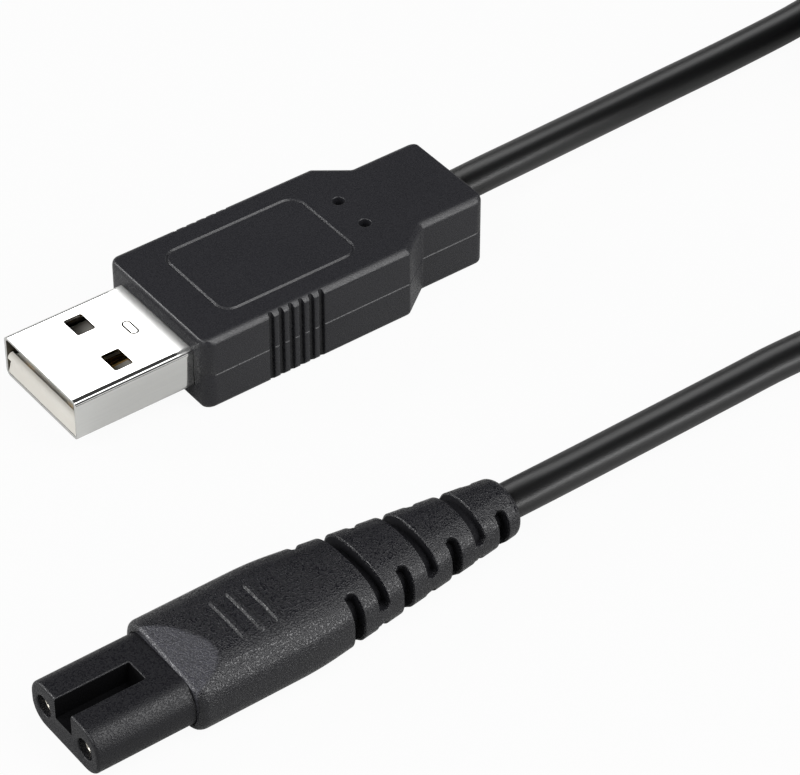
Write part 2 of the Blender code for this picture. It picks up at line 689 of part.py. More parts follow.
def domed_outline(width, rise, drop, corner, power, dome_steps=12, corner_steps=5):
    """Points (across, up) round a section with a domed top and a flat underside between round corners."""
    points = []
    for step in range(dome_steps + 1):
        angle = math.pi * step / dome_steps
        across = abs(math.cos(angle)) ** (2 / power)
        up = abs(math.sin(angle)) ** (2 / power)
        points.append((math.copysign(across, math.cos(angle)) * width / 2, up * rise))
    for quarter, side in ((2, -1), (3, 1)):
        for step in range(corner_steps + 1):
            angle = math.pi / 2 * (quarter + step / corner_steps)
            across = side * (width / 2 - corner) + corner * math.cos(angle)
            points.append((across, corner - drop + corner * math.sin(angle)))
    return points


def relief_section(depth, inset, side_inset=None):
    """Outline of the overmould at a depth behind the lip, drawn in by an inset, at the sides by its own."""
    width, rise, drop, corner, power = relief_size(depth)
    half_width = width / 2 - (inset if side_inset is None else side_inset)
    corner = max(corner - inset, LEAST_CORNER)
    outline = domed_outline(2 * half_width, rise - inset, drop - inset, min(corner, half_width), power)
    return [Vector((NOSE_EXPOSED + depth, y, z)) for y, z in outline]


def lip_sections():
    """Front lip: well rounded in plan at both sides, with a crisp edge above and below."""
    sections = []
    for angle in QUARTER_ROUND_ANGLES:
        side_inset, depth = quarter_round(LIP_PLAN_ROUND, angle)
        still_to_round = max(LIP_EDGE_ROUND - depth, 0.0)
        edge_inset = LIP_EDGE_ROUND - math.sqrt(LIP_EDGE_ROUND ** 2 - still_to_round ** 2)
        sections.append(relief_section(depth, edge_inset, side_inset))
    return sections


def slot_depths():
    """Places of the strain relief's slots, side slots first and then by turns, as many as fit."""
    room = TRIMMER_LENGTH - SLOT_END_MARGIN - SLOT_FIRST
    return [SLOT_FIRST + index * SLOT_HALF_PITCH for index in range(int(room / SLOT_HALF_PITCH) + 1)]


def slot_cutters():
    """Slots round both sides, with round ends on the top and bottom, take turns with slots across."""
    cutters = []
    for index, depth in enumerate(slot_depths()):
        middle = NOSE_EXPOSED + depth
        for side in (1, -1):
            if index % 2 == 0:
                half_width = relief_size(depth)[0] / 2
                across = side * (half_width + CUT_MARGIN)
                reach = SIDE_SLOT_REACH * half_width + CUT_MARGIN
                outline = obround(middle, across, SIDE_SLOT_WIDTH, 2 * reach)
                cutters.append(upright_prism("side_slot", outline, -2 * TRIMMER_RISE, 2 * TRIMMER_RISE))
                continue
            heights = sorted((side * SIDE_WEB_HALF_HEIGHT, side * 2 * TRIMMER_RISE))
            low = (middle - TOP_SLOT_WIDTH / 2, -TRIMMER_WIDTH, heights[0])
            high = (middle + TOP_SLOT_WIDTH / 2, TRIMMER_WIDTH, heights[1])
            cutters.append(block("top_slot", low, high))
    return join_cutters("slots", cutters)


def thumb_facet():
    """Wedge that cuts the flat thumb facet: it falls from the top of the dome towards the lip."""
    fall = THUMB_FACET_DROP / THUMB_FACET_LENGTH * CUT_MARGIN
    front, rear = NOSE_EXPOSED - CUT_MARGIN, NOSE_EXPOSED + THUMB_FACET_LENGTH + CUT_MARGIN
    low, high = TRIMMER_RISE - THUMB_FACET_DROP - fall, TRIMMER_RISE + fall
    profile = [(front, low), (rear, high), (front, high)]
    sides = (-TRIMMER_WIDTH, TRIMMER_WIDTH)
    return loft("thumb_facet", [[Vector((x, y, z)) for x, z in profile] for y in sides])


def floor_between(name, start, stop, full_depth, steps):
    """Core that fills cuts between two places up to their full depth, or to a sleeve round the cord."""
    sections = []
    for step in range(steps + 1):
        place = start + (stop - start) * step / steps
        room = relief_size(place)[2] - CORD_BORE / 2 - RELIEF_SLEEVE
        sections.append(relief_section(place, min(full_depth, room)))
    return loft(name, sections)


def trimmer_pocket():
    """Cutter that clears the nose's waist and flange and the inner mould by the seat gap."""
    full, waist, flange = (nose_size(step - SEAT_GAP) for step in (0.0, WAIST_STEP, FLANGE_STEP))
    ridge_start = WAIST_START + SEAT_GAP
    ridge_end = FLANGE_START - SEAT_GAP
    return loft("pocket", [
        section(NOSE_EXPOSED - CUT_MARGIN, *full), section(ridge_start, *full),
        section(ridge_start, *waist), section(ridge_end, *waist),
        section(ridge_end, *flange), section(TRIMMER_INNER_END + SEAT_GAP, *flange),
    ])


def trimmer_overmould():
    """Grip that tapers into a slotted strain relief round the cord."""
    sections = lip_sections()
    straight_end = TRIMMER_LENGTH - END_ROUND
    taper_steps = 10
    for step in range(taper_steps):
        share = step / (taper_steps - 1)
        depth = TRIMMER_BODY_LENGTH + (straight_end - TRIMMER_BODY_LENGTH) * share
        sections.append(relief_section(depth, 0.0))
    for angle in reversed(QUARTER_ROUND_ANGLES[:-1]):
        inset, setback = quarter_round(END_ROUND, angle)
        sections.append(relief_section(TRIMMER_LENGTH - setback, inset))
    mould = loft("trimmer_overmould", sections)

    carve(mould, slot_cutters())
    slots = slot_depths()
    slots_start, slots_stop = slots[0] - SIDE_SLOT_WIDTH, slots[-1] + SIDE_SLOT_WIDTH
    carve(mould, floor_between("slot_floor", slots_start, slots_stop, SLOT_DEPTH, 8), "UNION")

    lines = [GRIP_LINE_FIRST + index * GRIP_LINE_PITCH for index in range(GRIP_LINE_COUNT)]
    for depth in lines:
        outline = obround(NOSE_EXPOSED + depth, 0.0, GRIP_LINE_WIDTH, GRIP_LINE_LENGTH)
        line = upright_prism("grip_line", outline, 0.0, 2 * TRIMMER_RISE)
        ends = (depth - GRIP_LINE_WIDTH, depth + GRIP_LINE_WIDTH)
        line_top = loft("line_top", [relief_section(end, -GRIP_LINE_RISE) for end in ends])
        carve(line, line_top, "INTERSECT")
        carve(mould, line, "UNION")
    carve(mould, thumb_facet())

    carve(mould, trimmer_pocket())
    carve(mould, cord_bore(TRIMMER_INNER_END + CUT_MARGIN, TRIMMER_REAR))
    return mould


# Cord
def coil_lift(x):
    """Rise of the coil at a place: its far side leans on the tie and its near side on the table."""
    lowest_x = COIL_CENTRE_X - COIL_OUTER_RADIUS - CORD_DIAMETER / 2
    slope = (TIE_THICKNESS + SEAT_GAP) / (tie_span()[0] - lowest_x)
    return slope * (x - lowest_x)


def coil_radius(turn):
    """Radius of the cord's middle: it spirals in, reverses during the climb, and spirals out again."""
    before_climb = min(turn, 2 * COIL_TURNS_A_LAYER + COIL_CLIMB_TURNS - turn, COIL_TURNS_A_LAYER)
    climbed = min(max(turn - COIL_TURNS_A_LAYER, 0.0), COIL_CLIMB_TURNS)
    in_climb = climbed - climbed ** 2 / COIL_CLIMB_TURNS
    return COIL_OUTER_RADIUS - COIL_TURN_PITCH * (before_climb + in_climb)


def tie_span():
    """Nearest and farthest X inside the tie: the coil's turns and a seat gap."""
    inside = coil_radius(COIL_TURNS_A_LAYER + COIL_CLIMB_TURNS / 2) - CORD_DIAMETER / 2
    near = math.sqrt(inside ** 2 - (TIE_WIDTH / 2) ** 2) - SEAT_GAP
    far = COIL_OUTER_RADIUS + CORD_DIAMETER / 2 + SEAT_GAP
    return COIL_CENTRE_X + near, COIL_CENTRE_X + far


def coil_points():
    """One cord that spirals in on the table, climbs a layer, and spirals out again."""
    total = 2 * COIL_TURNS_A_LAYER + COIL_CLIMB_TURNS
    count = round(total * COIL_POINTS_A_TURN)
    spiral = []
    for index in range(count + 1):
        turn = total * index / count
        angle = math.pi / 2 - 2 * math.pi * turn
        x = COIL_CENTRE_X + coil_radius(turn) * math.cos(angle)
        y = COIL_CENTRE_Y + coil_radius(turn) * math.sin(angle)
        climb = min(max((turn - COIL_TURNS_A_LAYER) / COIL_CLIMB_TURNS, 0.0), 1.0)
        layer = climb * climb * (3 - 2 * climb)
        spiral.append(Vector((x, y, CORD_DIAMETER / 2 + coil_lift(x) + layer * COIL_LAYER_PITCH)))
    straight = Vector((-CORD_DIAMETER, 0.0, 0.0))
    return [spiral[0] + straight, *spiral, spiral[-1] + straight]


def coil_self_gap(points):
    """Least clear distance between two turns of the coil, measured on its points."""
    skip = COIL_POINTS_A_TURN // 2
    pairs = ((spot, other) for start, spot in enumerate(points) for other in points[start + skip:])
    return min((spot - other).length for spot, other in pairs) - CORD_DIAMETER


def lead_points(inner_end, leave, route, coil_end):
    """From the inner mould straight out of the connector's bore, then along its route to the coil."""
    start = inner_end + Vector((SEAT_GAP, 0.0, 0.0))
    arrive = coil_end - Vector((SEAT_GAP, 0.0, 0.0))
    square = arrive - Vector((CORD_DIAMETER, 0.0, 0.0))
    chosen = [Vector(point) * MM for point in route]
    curve = smooth_route([leave, *chosen, square, arrive], LEAD_POINT_SPACING)
    return [start, *curve]


def cord_tie():
    """Flat strap closed round the coil's turns."""
    near, far = tie_span()
    top = coil_lift(far) + CORD_DIAMETER + COIL_LAYER_PITCH + SEAT_GAP
    inner = (far - near, top - TIE_THICKNESS)
    outer = (inner[0] + 2 * TIE_THICKNESS, inner[1] + 2 * TIE_THICKNESS)
    middle = Vector(((near + far) / 2, COIL_CENTRE_Y, (top + TIE_THICKNESS) / 2))
    outer_band = rounded_rectangle(*outer, TIE_CORNER + TIE_THICKNESS)
    inner_band = rounded_rectangle(*inner, TIE_CORNER)
    rings = []
    for side, band in ((-1, outer_band), (1, outer_band), (1, inner_band), (-1, inner_band)):
        rings.append([middle + Vector((x, side * TIE_WIDTH / 2, z)) for x, z in band])
    return loft("cord_tie", rings, hollow=True)


def build_usb(finishes):
    axis = make_axis("usb_axis", USB_PLACE)
    finish(usb_shell(), finishes["nickel"], axis)
    finish(usb_insulator(), finishes["ivory"], axis)
    for name, (middle, setback) in contact_places().items():
        finish(usb_contact(name, middle, setback), finishes["gold"], axis)
    finish(usb_inner_mould(), finishes["clear_mould"], axis)
    finish(usb_overmould(), finishes["black_pvc"], axis)
    for name, side, colour in (("power", 1, "red_core"), ("ground", -1, "black_core")):
        across = OUTER_CONTACT_SPACING / 2
        start, end = core_ends(side, USB_INNER_END, CONTACT_END, across, CONTACT_MIDDLE)
        core = tube("usb_core_" + name, core_route(start, end), CORE_DIAMETER, 2)
        finish(core, finishes[colour], axis)
        bead = solder_joint("usb_solder_" + name, CONTACT_END, side * across, CONTACT_MIDDLE)
        finish(bead, finishes["solder"], axis)


def build_trimmer(finishes):
    axis = make_axis("trimmer_axis", TRIMMER_PLACE)
    finish(trimmer_nose(), finishes["black_nylon"], axis)
    finish(trimmer_inner_mould(), finishes["clear_mould"], axis)
    finish(trimmer_overmould(), finishes["black_pvc"], axis)
    for name, side, colour in (("power", 1, "red_core"), ("ground", -1, "black_core")):
        across = SOCKET_SPACING / 2
        finish(trimmer_socket("trimmer_socket_" + name, side), finishes["nickel"], axis)
        start, end = core_ends(side, TRIMMER_INNER_END, SOCKET_END, across, 0.0)
        core = tube("trimmer_core_" + name, core_route(start, end), CORE_DIAMETER, 2)
        finish(core, finishes[colour], axis)
        bead = solder_joint("trimmer_solder_" + name, SOCKET_END, side * across, 0.0)
        finish(bead, finishes["solder"], axis)


def build_cord(finishes):
    coil = coil_points()
    usb_inner = USB_PLACE + Vector((USB_INNER_END, 0.0, 0.0))
    usb_leave = USB_PLACE + Vector((USB_REAR, USB_CORD_ASIDE, USB_CORD_RISE))
    usb_lead = lead_points(usb_inner, usb_leave, USB_LEAD_ROUTE, coil[0])
    trimmer_inner = TRIMMER_PLACE + Vector((TRIMMER_INNER_END, 0.0, 0.0))
    trimmer_leave = TRIMMER_PLACE + Vector((TRIMMER_REAR, 0.0, 0.0))
    trimmer_lead = lead_points(trimmer_inner, trimmer_leave, TRIMMER_LEAD_ROUTE, coil[-1])
    finish(tube("cord_usb_lead", usb_lead, CORD_DIAMETER, 2), finishes["cord_pvc"])
    finish(tube("cord_trimmer_lead", trimmer_lead, CORD_DIAMETER, 2), finishes["cord_pvc"])
    finish(tube("cord_coil", coil, CORD_DIAMETER, 1), finishes["cord_pvc"])
    finish(cord_tie(), finishes["tie_nylon"])
    whole = path_length(usb_lead) + path_length(coil) + path_length(trimmer_lead)
    print("coil gap to itself: %.2f mm" % (coil_self_gap(coil) / MM))
    print("cord length: %.3f m" % whole)


def main():
    clear_scene()
    finishes = {
        "nickel": make_material("nickel_plated_steel", (0.75, 0.75, 0.76), 0.18, 1.0),
        "gold": make_material("gold_plated_contact", (0.80, 0.58, 0.24), 0.25, 1.0),
        "solder": make_material("solder", (0.55, 0.55, 0.56), 0.4, 1.0),
        "ivory": make_material("ivory_insulator", (0.80, 0.77, 0.70), 0.45),
        "clear_mould": make_material("inner_mould_polyethylene", (0.62, 0.62, 0.60), 0.5),
        "black_pvc": make_material("black_overmould_pvc", (0.026, 0.027, 0.030), 0.6),
        "black_nylon": make_material("black_nose_nylon", (0.022, 0.022, 0.024), 0.55),
        "cord_pvc": make_material("black_cord_pvc", (0.018, 0.018, 0.019), 0.4),
        "red_core": make_material("red_core_insulation", (0.50, 0.03, 0.03), 0.5),
        "black_core": make_material("black_core_insulation", (0.02, 0.02, 0.02), 0.5),
        "tie_nylon": make_material("black_tie_nylon", (0.03, 0.03, 0.03), 0.7),
    }
    build_usb(finishes)
    build_trimmer(finishes)
    build_cord(finishes)


main()
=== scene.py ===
"""Looks of a trimmer's charging lead: USB plug, trimmer connector and the cord between them.

Metres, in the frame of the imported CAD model: +X runs along both connectors to the cord, +Z is up from
the table. Each connector's own sizes are measured from its mating face (x = 0) and from the middle of
its thickness (z = 0).
"""
import math

import bmesh
import bpy
from mathutils import Matrix, Vector


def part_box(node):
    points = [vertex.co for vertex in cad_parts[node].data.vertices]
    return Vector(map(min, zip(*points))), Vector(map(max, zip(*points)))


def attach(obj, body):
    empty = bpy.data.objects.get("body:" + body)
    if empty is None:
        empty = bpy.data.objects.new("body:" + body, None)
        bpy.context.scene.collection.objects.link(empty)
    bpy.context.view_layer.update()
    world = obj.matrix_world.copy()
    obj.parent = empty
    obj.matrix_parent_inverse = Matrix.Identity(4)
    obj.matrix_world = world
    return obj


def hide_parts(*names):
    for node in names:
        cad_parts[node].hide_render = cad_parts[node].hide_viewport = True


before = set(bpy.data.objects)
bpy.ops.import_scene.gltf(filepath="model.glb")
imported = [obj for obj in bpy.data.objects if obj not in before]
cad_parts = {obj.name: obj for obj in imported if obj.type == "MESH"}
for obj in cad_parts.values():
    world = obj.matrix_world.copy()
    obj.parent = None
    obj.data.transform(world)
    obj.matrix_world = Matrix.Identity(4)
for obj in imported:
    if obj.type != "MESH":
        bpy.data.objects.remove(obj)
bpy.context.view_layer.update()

MM = 0.001
BODY = "root"

# Places of the two connector axes
USB_PLACE = Vector((-12.725, 17.075, 4.0)) * MM
TRIMMER_PLACE = Vector((-33.625, -19.225, 2.9)) * MM

# Cord and coil
CORD_DIAMETER = 3.5 * MM
CORD_SIDES = 40
CORD_POINT_SPACING = 1.5 * MM
USB_REAR = 46.35 * MM
USB_INNER_END = 30.05 * MM
USB_CORD_ASIDE = 0.6 * MM
USB_CORD_RISE = 0.6 * MM
TRIMMER_REAR = 45.6 * MM
TRIMMER_INNER_END = 24.6 * MM
COIL_CENTRE = Vector((102.0, -2.8, 0.0)) * MM
COIL_OUTER_RADIUS = 27.0 * MM
COIL_TURN_PITCH = 4.2 * MM
COIL_LAYER_PITCH = 4.15 * MM
COIL_TURNS_A_LAYER = 3
COIL_CLIMB_TURNS = 0.5
COIL_POINTS_A_TURN = 60
TIE_WIDTH = 5.0 * MM
TIE_THICKNESS = 0.6 * MM
TIE_CORNER = 1.5 * MM
SEAT_GAP = 0.3 * MM
USB_CORD_EXIT = USB_PLACE + Vector((USB_REAR, USB_CORD_ASIDE, USB_CORD_RISE))

# Routes of the two leads from their connector to the coil, in millimetres
USB_LEAD_ROUTE = [
    (38.5, 17.92, 4.55), (43.5, 18.4, 4.2), (49.5, 19.23, 3.55), (56.0, 20.18, 2.8),
    (63.5, 21.05, 2.15), (73.5, 21.65, 1.85), (83.5, 22.2, 1.95), (91.5, 23.5, 2.2),
]
TRIMMER_LEAD_ROUTE = [
    (16.0, -19.32, 3.0), (21.5, -18.96, 2.6), (27.5, -18.57, 2.2), (33.5, -18.26, 1.9),
    (39.5, -18.13, 1.82), (45.5, -18.1, 1.82), (52.0, -18.6, 1.82), (60.0, -20.6, 1.85),
    (70.0, -24.3, 2.3), (80.0, -27.5, 3.7), (90.0, -29.5, 5.5),
]

# USB plug
SHELL_WIDTH = 12.0 * MM
SHELL_HEIGHT = 4.5 * MM
SHELL_LENGTH = 18.75 * MM
SHELL_EXPOSED = 12.65 * MM
SHELL_WALL = 0.32 * MM
SHELL_CORNER = 0.6 * MM
SHELL_INNER_CORNER = 0.28 * MM
SHELL_LIP = 0.04 * MM
WINDOW_WIDTH = 2.6 * MM
WINDOW_LENGTH = 2.0 * MM
WINDOW_CORNER = 0.25 * MM
WINDOW_CENTRE_X = 6.35 * MM
WINDOW_SPACING = 6.2 * MM
DETENT_WIDTH = 2.0 * MM
DETENT_LENGTH = 0.8 * MM
DETENT_LINE_WIDTH = 0.2 * MM
DETENT_LINE_DEPTH = 0.12 * MM
DETENT_CENTRE_X = 9.85 * MM
SEAM_WIDTH = 0.08 * MM
INSIDE_MARGIN = 0.01 * MM
TONGUE_THICKNESS = 1.9 * MM
TONGUE_FRONT = 0.05 * MM
TONGUE_EDGE = 0.55 * MM
HEADER_START = 12.75 * MM
USB_WIDTH = 16.0 * MM
USB_HEIGHT = 8.0 * MM
USB_GRIP_LENGTH = 23.1 * MM
USB_NECK_LENGTH = 3.2 * MM
USB_NECK_STEP = 2.35 * MM
USB_FRONT_CORNER = 1.2 * MM
USB_NECK_CORNER = 0.5 * MM
USB_TAIL_CORNER = 1.0 * MM
USB_EDGE_DROP = 0.7 * MM
USB_SIDE_EDGE = 0.8 * MM
USB_END_EDGE = 0.28 * MM
PARTING_LINE_WIDTH = 0.16 * MM
PARTING_LINE_DEPTH = 0.06 * MM
GROOVE_COUNT = 6
GROOVE_PITCH = 1.12 * MM
GROOVE_WIDTH = 0.5 * MM
GROOVE_DEPTH = 0.5 * MM
GROOVE_SHOULDER = 0.2 * MM
GROOVE_START = 7.4 * MM
PANEL_START = 4.1 * MM
PANEL_LENGTH = 15.2 * MM
PANEL_WIDTH = 10.4 * MM
PANEL_CORNER = 1.5 * MM
PANEL_LINE_WIDTH = 0.36 * MM
PANEL_LINE_DEPTH = 0.13 * MM
PIN_HOLE_DIAMETER = 1.2 * MM
PIN_HOLE_DEPTH = 1.2 * MM
PIN_HOLE_RIM = 0.1 * MM
PIN_HOLE_SPACING = 4.2 * MM
PIN_HOLE_CENTRE = 22.2 * MM

# Trimmer connector
NOSE_WIDTH = 10.1 * MM
NOSE_HEIGHT = 4.7 * MM
NOSE_CORNER = 2.0 * MM
NOSE_EXPOSED = 9.7 * MM
NOSE_EDGE_ROUND = 0.3 * MM
WAIST_START = 10.3 * MM
WAIST_STEP = 0.9 * MM
FLANGE_START = 12.7 * MM
FLANGE_STEP = 0.4 * MM
NOSE_END = 15.3 * MM
KEY_SLOT_WIDTH = 2.45 * MM
KEY_SLOT_LENGTH = 7.3 * MM
KEY_SLOT_DEPTH = 2.2 * MM
KEY_SLOT_RIM = 0.12 * MM
KEY_SLOT_CORNER = 0.15 * MM
SOCKET_SPACING = 6.15 * MM
SOCKET_DIAMETER = 1.9 * MM
SOCKET_BORE = 1.4 * MM
SOCKET_BORE_DEPTH = 9.0 * MM
SOCKET_SETBACK = 0.6 * MM
SOCKET_END = 17.1 * MM
SOCKET_HOLE_RIM = 0.15 * MM
TRIMMER_WIDTH = 11.7 * MM
TRIMMER_RISE = 3.5 * MM
TRIMMER_DROP = 2.9 * MM
TRIMMER_BODY_CORNER = 2.3 * MM
TRIMMER_DOME_POWER = 2.9
TRIMMER_BODY_LENGTH = 10.25 * MM
TRIMMER_LENGTH = 35.9 * MM
TAPER_EASE = 4.0 * MM
LIP_PLAN_ROUND = 0.8 * MM
LIP_EDGE = 0.2 * MM
END_ROUND = 0.7 * MM
RELIEF_END_WIDTH = 5.7 * MM
RELIEF_END_RISE = 2.4 * MM
RELIEF_END_DROP = 2.7 * MM
RELIEF_END_CORNER = 2.55 * MM
RELIEF_END_DOME_POWER = 2.0
THUMB_FACET_LENGTH = 3.0 * MM
THUMB_FACET_DROP = 0.66 * MM
THUMB_FACET_LEAN = 0.11
FACET_EDGE = 0.04 * MM
RECESS_DEPTH = 0.3 * MM
SLOT_DEPTH = 1.1 * MM
SLOT_FLOOR_WALL = 0.15 * MM
SLOT_RIM = 0.1 * MM
SLOT_BEVEL = 0.07 * MM
SIDE_SLOT_WIDTH = 0.95 * MM
SIDE_SLOT_REACH = 0.32
TOP_SLOT_WIDTH = 0.95 * MM
TOP_SLOT_END = 0.45 * MM
UNDER_SLOT_END = 1.2 * MM
SLOT_COUNT = 7
SLOT_FIRST = 16.6 * MM
SLOT_HALF_PITCH = 2.85 * MM
GRIP_LINE_COUNT = 3
GRIP_LINE_FIRST = 6.4 * MM
GRIP_LINE_PITCH = 1.75 * MM
GRIP_LINE_LENGTH = 5.2 * MM
GRIP_LINE_ASIDE = 0.5 * MM
GRIP_LINE_WIDTH = 0.55 * MM
GRIP_LINE_RISE = 0.2 * MM
GRIP_LINE_RIM = 0.18 * MM

CONTACTS = ("power", "data_minus", "data_plus", "ground")

# How finely the rounded forms are divided
ARC_STEPS = 8
EDGE_STEPS = 6
RIM_STEPS = 4
BORE_SIDES = 48
SOCKET_SIDES = 40
PIN_HOLE_SIDES = 32
DOME_STEPS = 144
UNDERSIDE_STEPS = 24
BODY_ROW_STEP = 0.3 * MM
DETAIL_ROW_STEP = 0.05 * MM
FLAT_CAP_INSET = 0.15

# Fits between the visible pieces, and their shading
FIT_GAP = 0.06 * MM
CUT_MARGIN = 1.0 * MM
SHARP_EDGE = math.radians(35)
LEVEL_FACE = 0.9999

# Sizes of the finishes' patterns
PATCH_SIZE = 5.0 * MM
PATCH_DETAIL = 4.0
GRAIN_DETAIL = 1.0
LINE_DETAIL = 2.0
DRAWN_ALONG = (0.05, 1.0, 1.0)
TURNED_ROUND = (1.0, 0.05, 0.05)
STRIP_DRAWN = (0.04, 1.0, 1.0)
GRAIN_LOW = 0.4
GRAIN_HIGH = 0.6
RELIEF_GRAIN = 0.15 * MM
RELIEF_GRAIN_DEPTH = 0.03 * MM
# Paler colours of the thumb facet: a painted highlight, speckled by the grain
PAINTED_FACET_COLOURS = ("#242428", "#39393e")
SHELL_ROUGHNESS = (0.08, 0.42)
# Where the shell's top by the grip turns rougher and is painted paler: painted light over the grip's dark
# reflection
ROUGH_PAINTED_PALE_START = 1.9 * MM
ROUGH_PAINTED_PALE_FULL = 1.0 * MM
STRIP_LINE = 0.12 * MM
STRIP_LINE_DEPTH = 0.0006 * MM
JACKET_COLOUR = "#0c0c0d"
JACKET_ROUGHNESS = (0.34, 0.42)
DIE_LINE = 0.35 * MM
DIE_LINE_RUN = 30.0 * MM
DIE_LINE_DEPTH = 0.003 * MM
THREAD_SPACING = 0.5 * MM
THREAD_RELIEF = 0.08 * MM
WAVE_LENGTH_AT_ONE = math.pi / 10
PAPER_FIBRE = 0.5 * MM
PAPER_RELIEF = 0.01 * MM

# Floor, room and lamps: where each softbox hangs as seen from the object, its size and its brightness
FLOOR_SIZE = 4.0
FLOOR_WHITE = {"Is Camera Ray": 0.95, "Is Glossy Ray": 0.12, "Is Transmission Ray": 0.95}
ROOM_LIGHT = 0.05
ROOM_WHITE_TO = 0.3
LAMP_DISTANCE = 0.8
SOFTBOXES = {
    "near_softbox": ((0.42, -0.65, 0.633), (0.44, 1.2), 6.3),
    "top_softbox": ((0.42, -0.08, 0.904), (0.44, 0.5), 1.9),
    "left_softbox": ((-0.65, 0.62, 0.41), (0.4, 0.36), 12.0),
    "front_softbox": ((-0.77, -0.16, 0.61), (0.5, 0.5), 6.0),
}
SHELL_SOFTBOXES = {
    "back_softbox": ((0.393, 0.664, 0.637), (0.9, 0.3), 4.5),
    "edge_strip": ((0.42, -0.546, 0.724), (0.6, 0.2), 3.0),
}
CORD_SOFTBOXES = {
    "upper_strip": ((0.42, 0.507, 0.752), (0.9, 0.34), 3.4),
    "lower_strip": ((0.42, -0.9, 0.085), (1.8, 0.12), 9.0),
}

# Camera, fitted to the USB shell's corners in the photograph
CAMERA_PLACE = Vector((-136.695, -203.125, 217.35)) * MM
CAMERA_TILT = math.radians(49.60)
CAMERA_TURN = math.radians(-36.76)
CAMERA_LENS = 164.1
CAMERA_SENSOR = 36.0
CAMERA_NEAREST = 0.01


def hex_colour(code):
    """Turn an sRGB hex code into a linear colour with alpha."""
    channels = [int(code[start:start + 2], 16) / 255 for start in (1, 3, 5)]
    linear = [c / 12.92 if c <= 0.04045 else ((c + 0.055) / 1.055) ** 2.4 for c in channels]
    return (*linear, 1.0)


def feed(tree, node, **links):
    """Link sockets, or the first outputs of other nodes, to a node's inputs; _0 means its first input."""
    for name, source in links.items():
        socket = node.inputs[int(name[1:])] if name[0] == "_" else node.inputs[name.replace("_", " ")]
        tree.links.new(source.outputs[0] if isinstance(source, bpy.types.Node) else source, socket)


def add_node(tree, kind, settings=None, **links):
    """Add one node; settings name its properties or input sockets, links say what feeds it."""
    node = tree.nodes.new(kind)
    for name, value in (settings or {}).items():
        if name in node.inputs:
            node.inputs[name].default_value = value
        else:
            setattr(node, name, value)
    feed(tree, node, **links)
    return node


def new_material(name, colour, roughness, metallic=0.0, specular=0.5):
    """A material with its tree and shader; the patterns are linked to it afterwards."""
    material = bpy.data.materials.new(name)
    material.use_nodes = True
    tree = material.node_tree
    shader = tree.nodes["Principled BSDF"]
    shader.inputs["Base Color"].default_value = hex_colour(colour)
    shader.inputs["Roughness"].default_value = roughness
    shader.inputs["Metallic"].default_value = metallic
    shader.inputs["Specular IOR Level"].default_value = specular
    return material, tree, shader


def add_object(name, data):
    """Put an object with its data in the scene."""
    item = bpy.data.objects.new(name, data)
    bpy.context.collection.objects.link(item)
    return item


def object_from(name, shape, place=Vector()):
    """Turn a bmesh into an object with outward faces, moved to its place in the mesh."""
    bmesh.ops.recalc_face_normals(shape, faces=shape.faces)
    bmesh.ops.translate(shape, verts=shape.verts, vec=place)
    mesh = bpy.data.meshes.new(name)
    shape.to_mesh(mesh)
    shape.free()
    return add_object(name, mesh)


def enrol(item, slot, *nodes):
    """Let a piece ride on the body and stand for its CAD nodes."""
    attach(item, BODY)
    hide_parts(*nodes)


def finish_piece(item, material, slot, *nodes):
    """Give a finished piece its material and shading, flat on level faces, and enrol it."""
    item.data.materials.clear()
    item.data.materials.append(material)
    item.data.shade_smooth()
    item.data.set_sharp_from_angle(angle=SHARP_EDGE)
    for face in item.data.polygons:
        face.use_smooth = abs(face.normal.z) < LEVEL_FACE
    enrol(item, slot, *nodes)
    return item


def evaluated_mesh(item):
    """The mesh that an object's modifiers make."""
    graph = bpy.context.evaluated_depsgraph_get()
    return bpy.data.meshes.new_from_object(item.evaluated_get(graph))


def carve(target, cutter):
    """Cut one object out of another with an exact Boolean, and remove the cutter."""
    step = target.modifiers.new("carve", "BOOLEAN")
    step.operation = "DIFFERENCE"
    step.solver = "EXACT"
    step.object = cutter
    result = evaluated_mesh(target)
    target.modifiers.remove(step)
    target.data = result
    bpy.data.objects.remove(cutter, do_unlink=True)


def rounded_rectangle(width, height, radius):
    """Points (across, up) round a rectangle with equal corners."""
    points = []
    for quarter, (side_y, side_z) in enumerate(((1, 1), (-1, 1), (-1, -1), (1, -1))):
        centre_y = side_y * (width / 2 - radius)
        centre_z = side_z * (height / 2 - radius)
        for step in range(ARC_STEPS + 1):
            angle = math.pi / 2 * (quarter + step / ARC_STEPS)
            points.append((centre_y + radius * math.cos(angle), centre_z + radius * math.sin(angle)))
    return points


def plan_ring(outline, z):
    """A plan outline, given as points (x, y), at a height."""
    return [Vector((x, y, z)) for x, y in outline]


def rectangle(low, high):
    """Corners (x, y) of a plain rectangle."""
    return [(low[0], low[1]), (high[0], low[1]), (high[0], high[1]), (low[0], high[1])]


def section(x, width, height, radius):
    """A rounded rectangle standing square to a connector's axis."""
    return [Vector((x, y, z)) for y, z in rounded_rectangle(width, height, radius)]


def circle(x, radius, count, centre_y=0.0, centre_z=0.0):
    """A circle standing square to a connector's axis."""
    angles = [2 * math.pi * step / count for step in range(count)]
    return [Vector((x, centre_y + radius * math.cos(a), centre_z + radius * math.sin(a))) for a in angles]


def skin(shape, rings, hollow=False):
    """Skin a row of rings with equal counts; a hollow skin runs back into its first ring."""
    rows = [[shape.verts.new(point) for point in ring] for ring in rings]
    pairs = list(zip(rows, rows[1:]))
    if hollow:
        pairs.append((rows[-1], rows[0]))
    for row, following in pairs:
        for index in range(len(row)):
            after = (index + 1) % len(row)
            shape.faces.new((row[index], row[after], following[after], following[index]))
    if not hollow:
        shape.faces.new(rows[0])
        shape.faces.new(rows[-1])


def loft(name, rings, hollow=False, place=Vector()):
    """An object skinned over a row of rings."""
    shape = bmesh.new()
    skin(shape, rings, hollow)
    return object_from(name, shape, place)


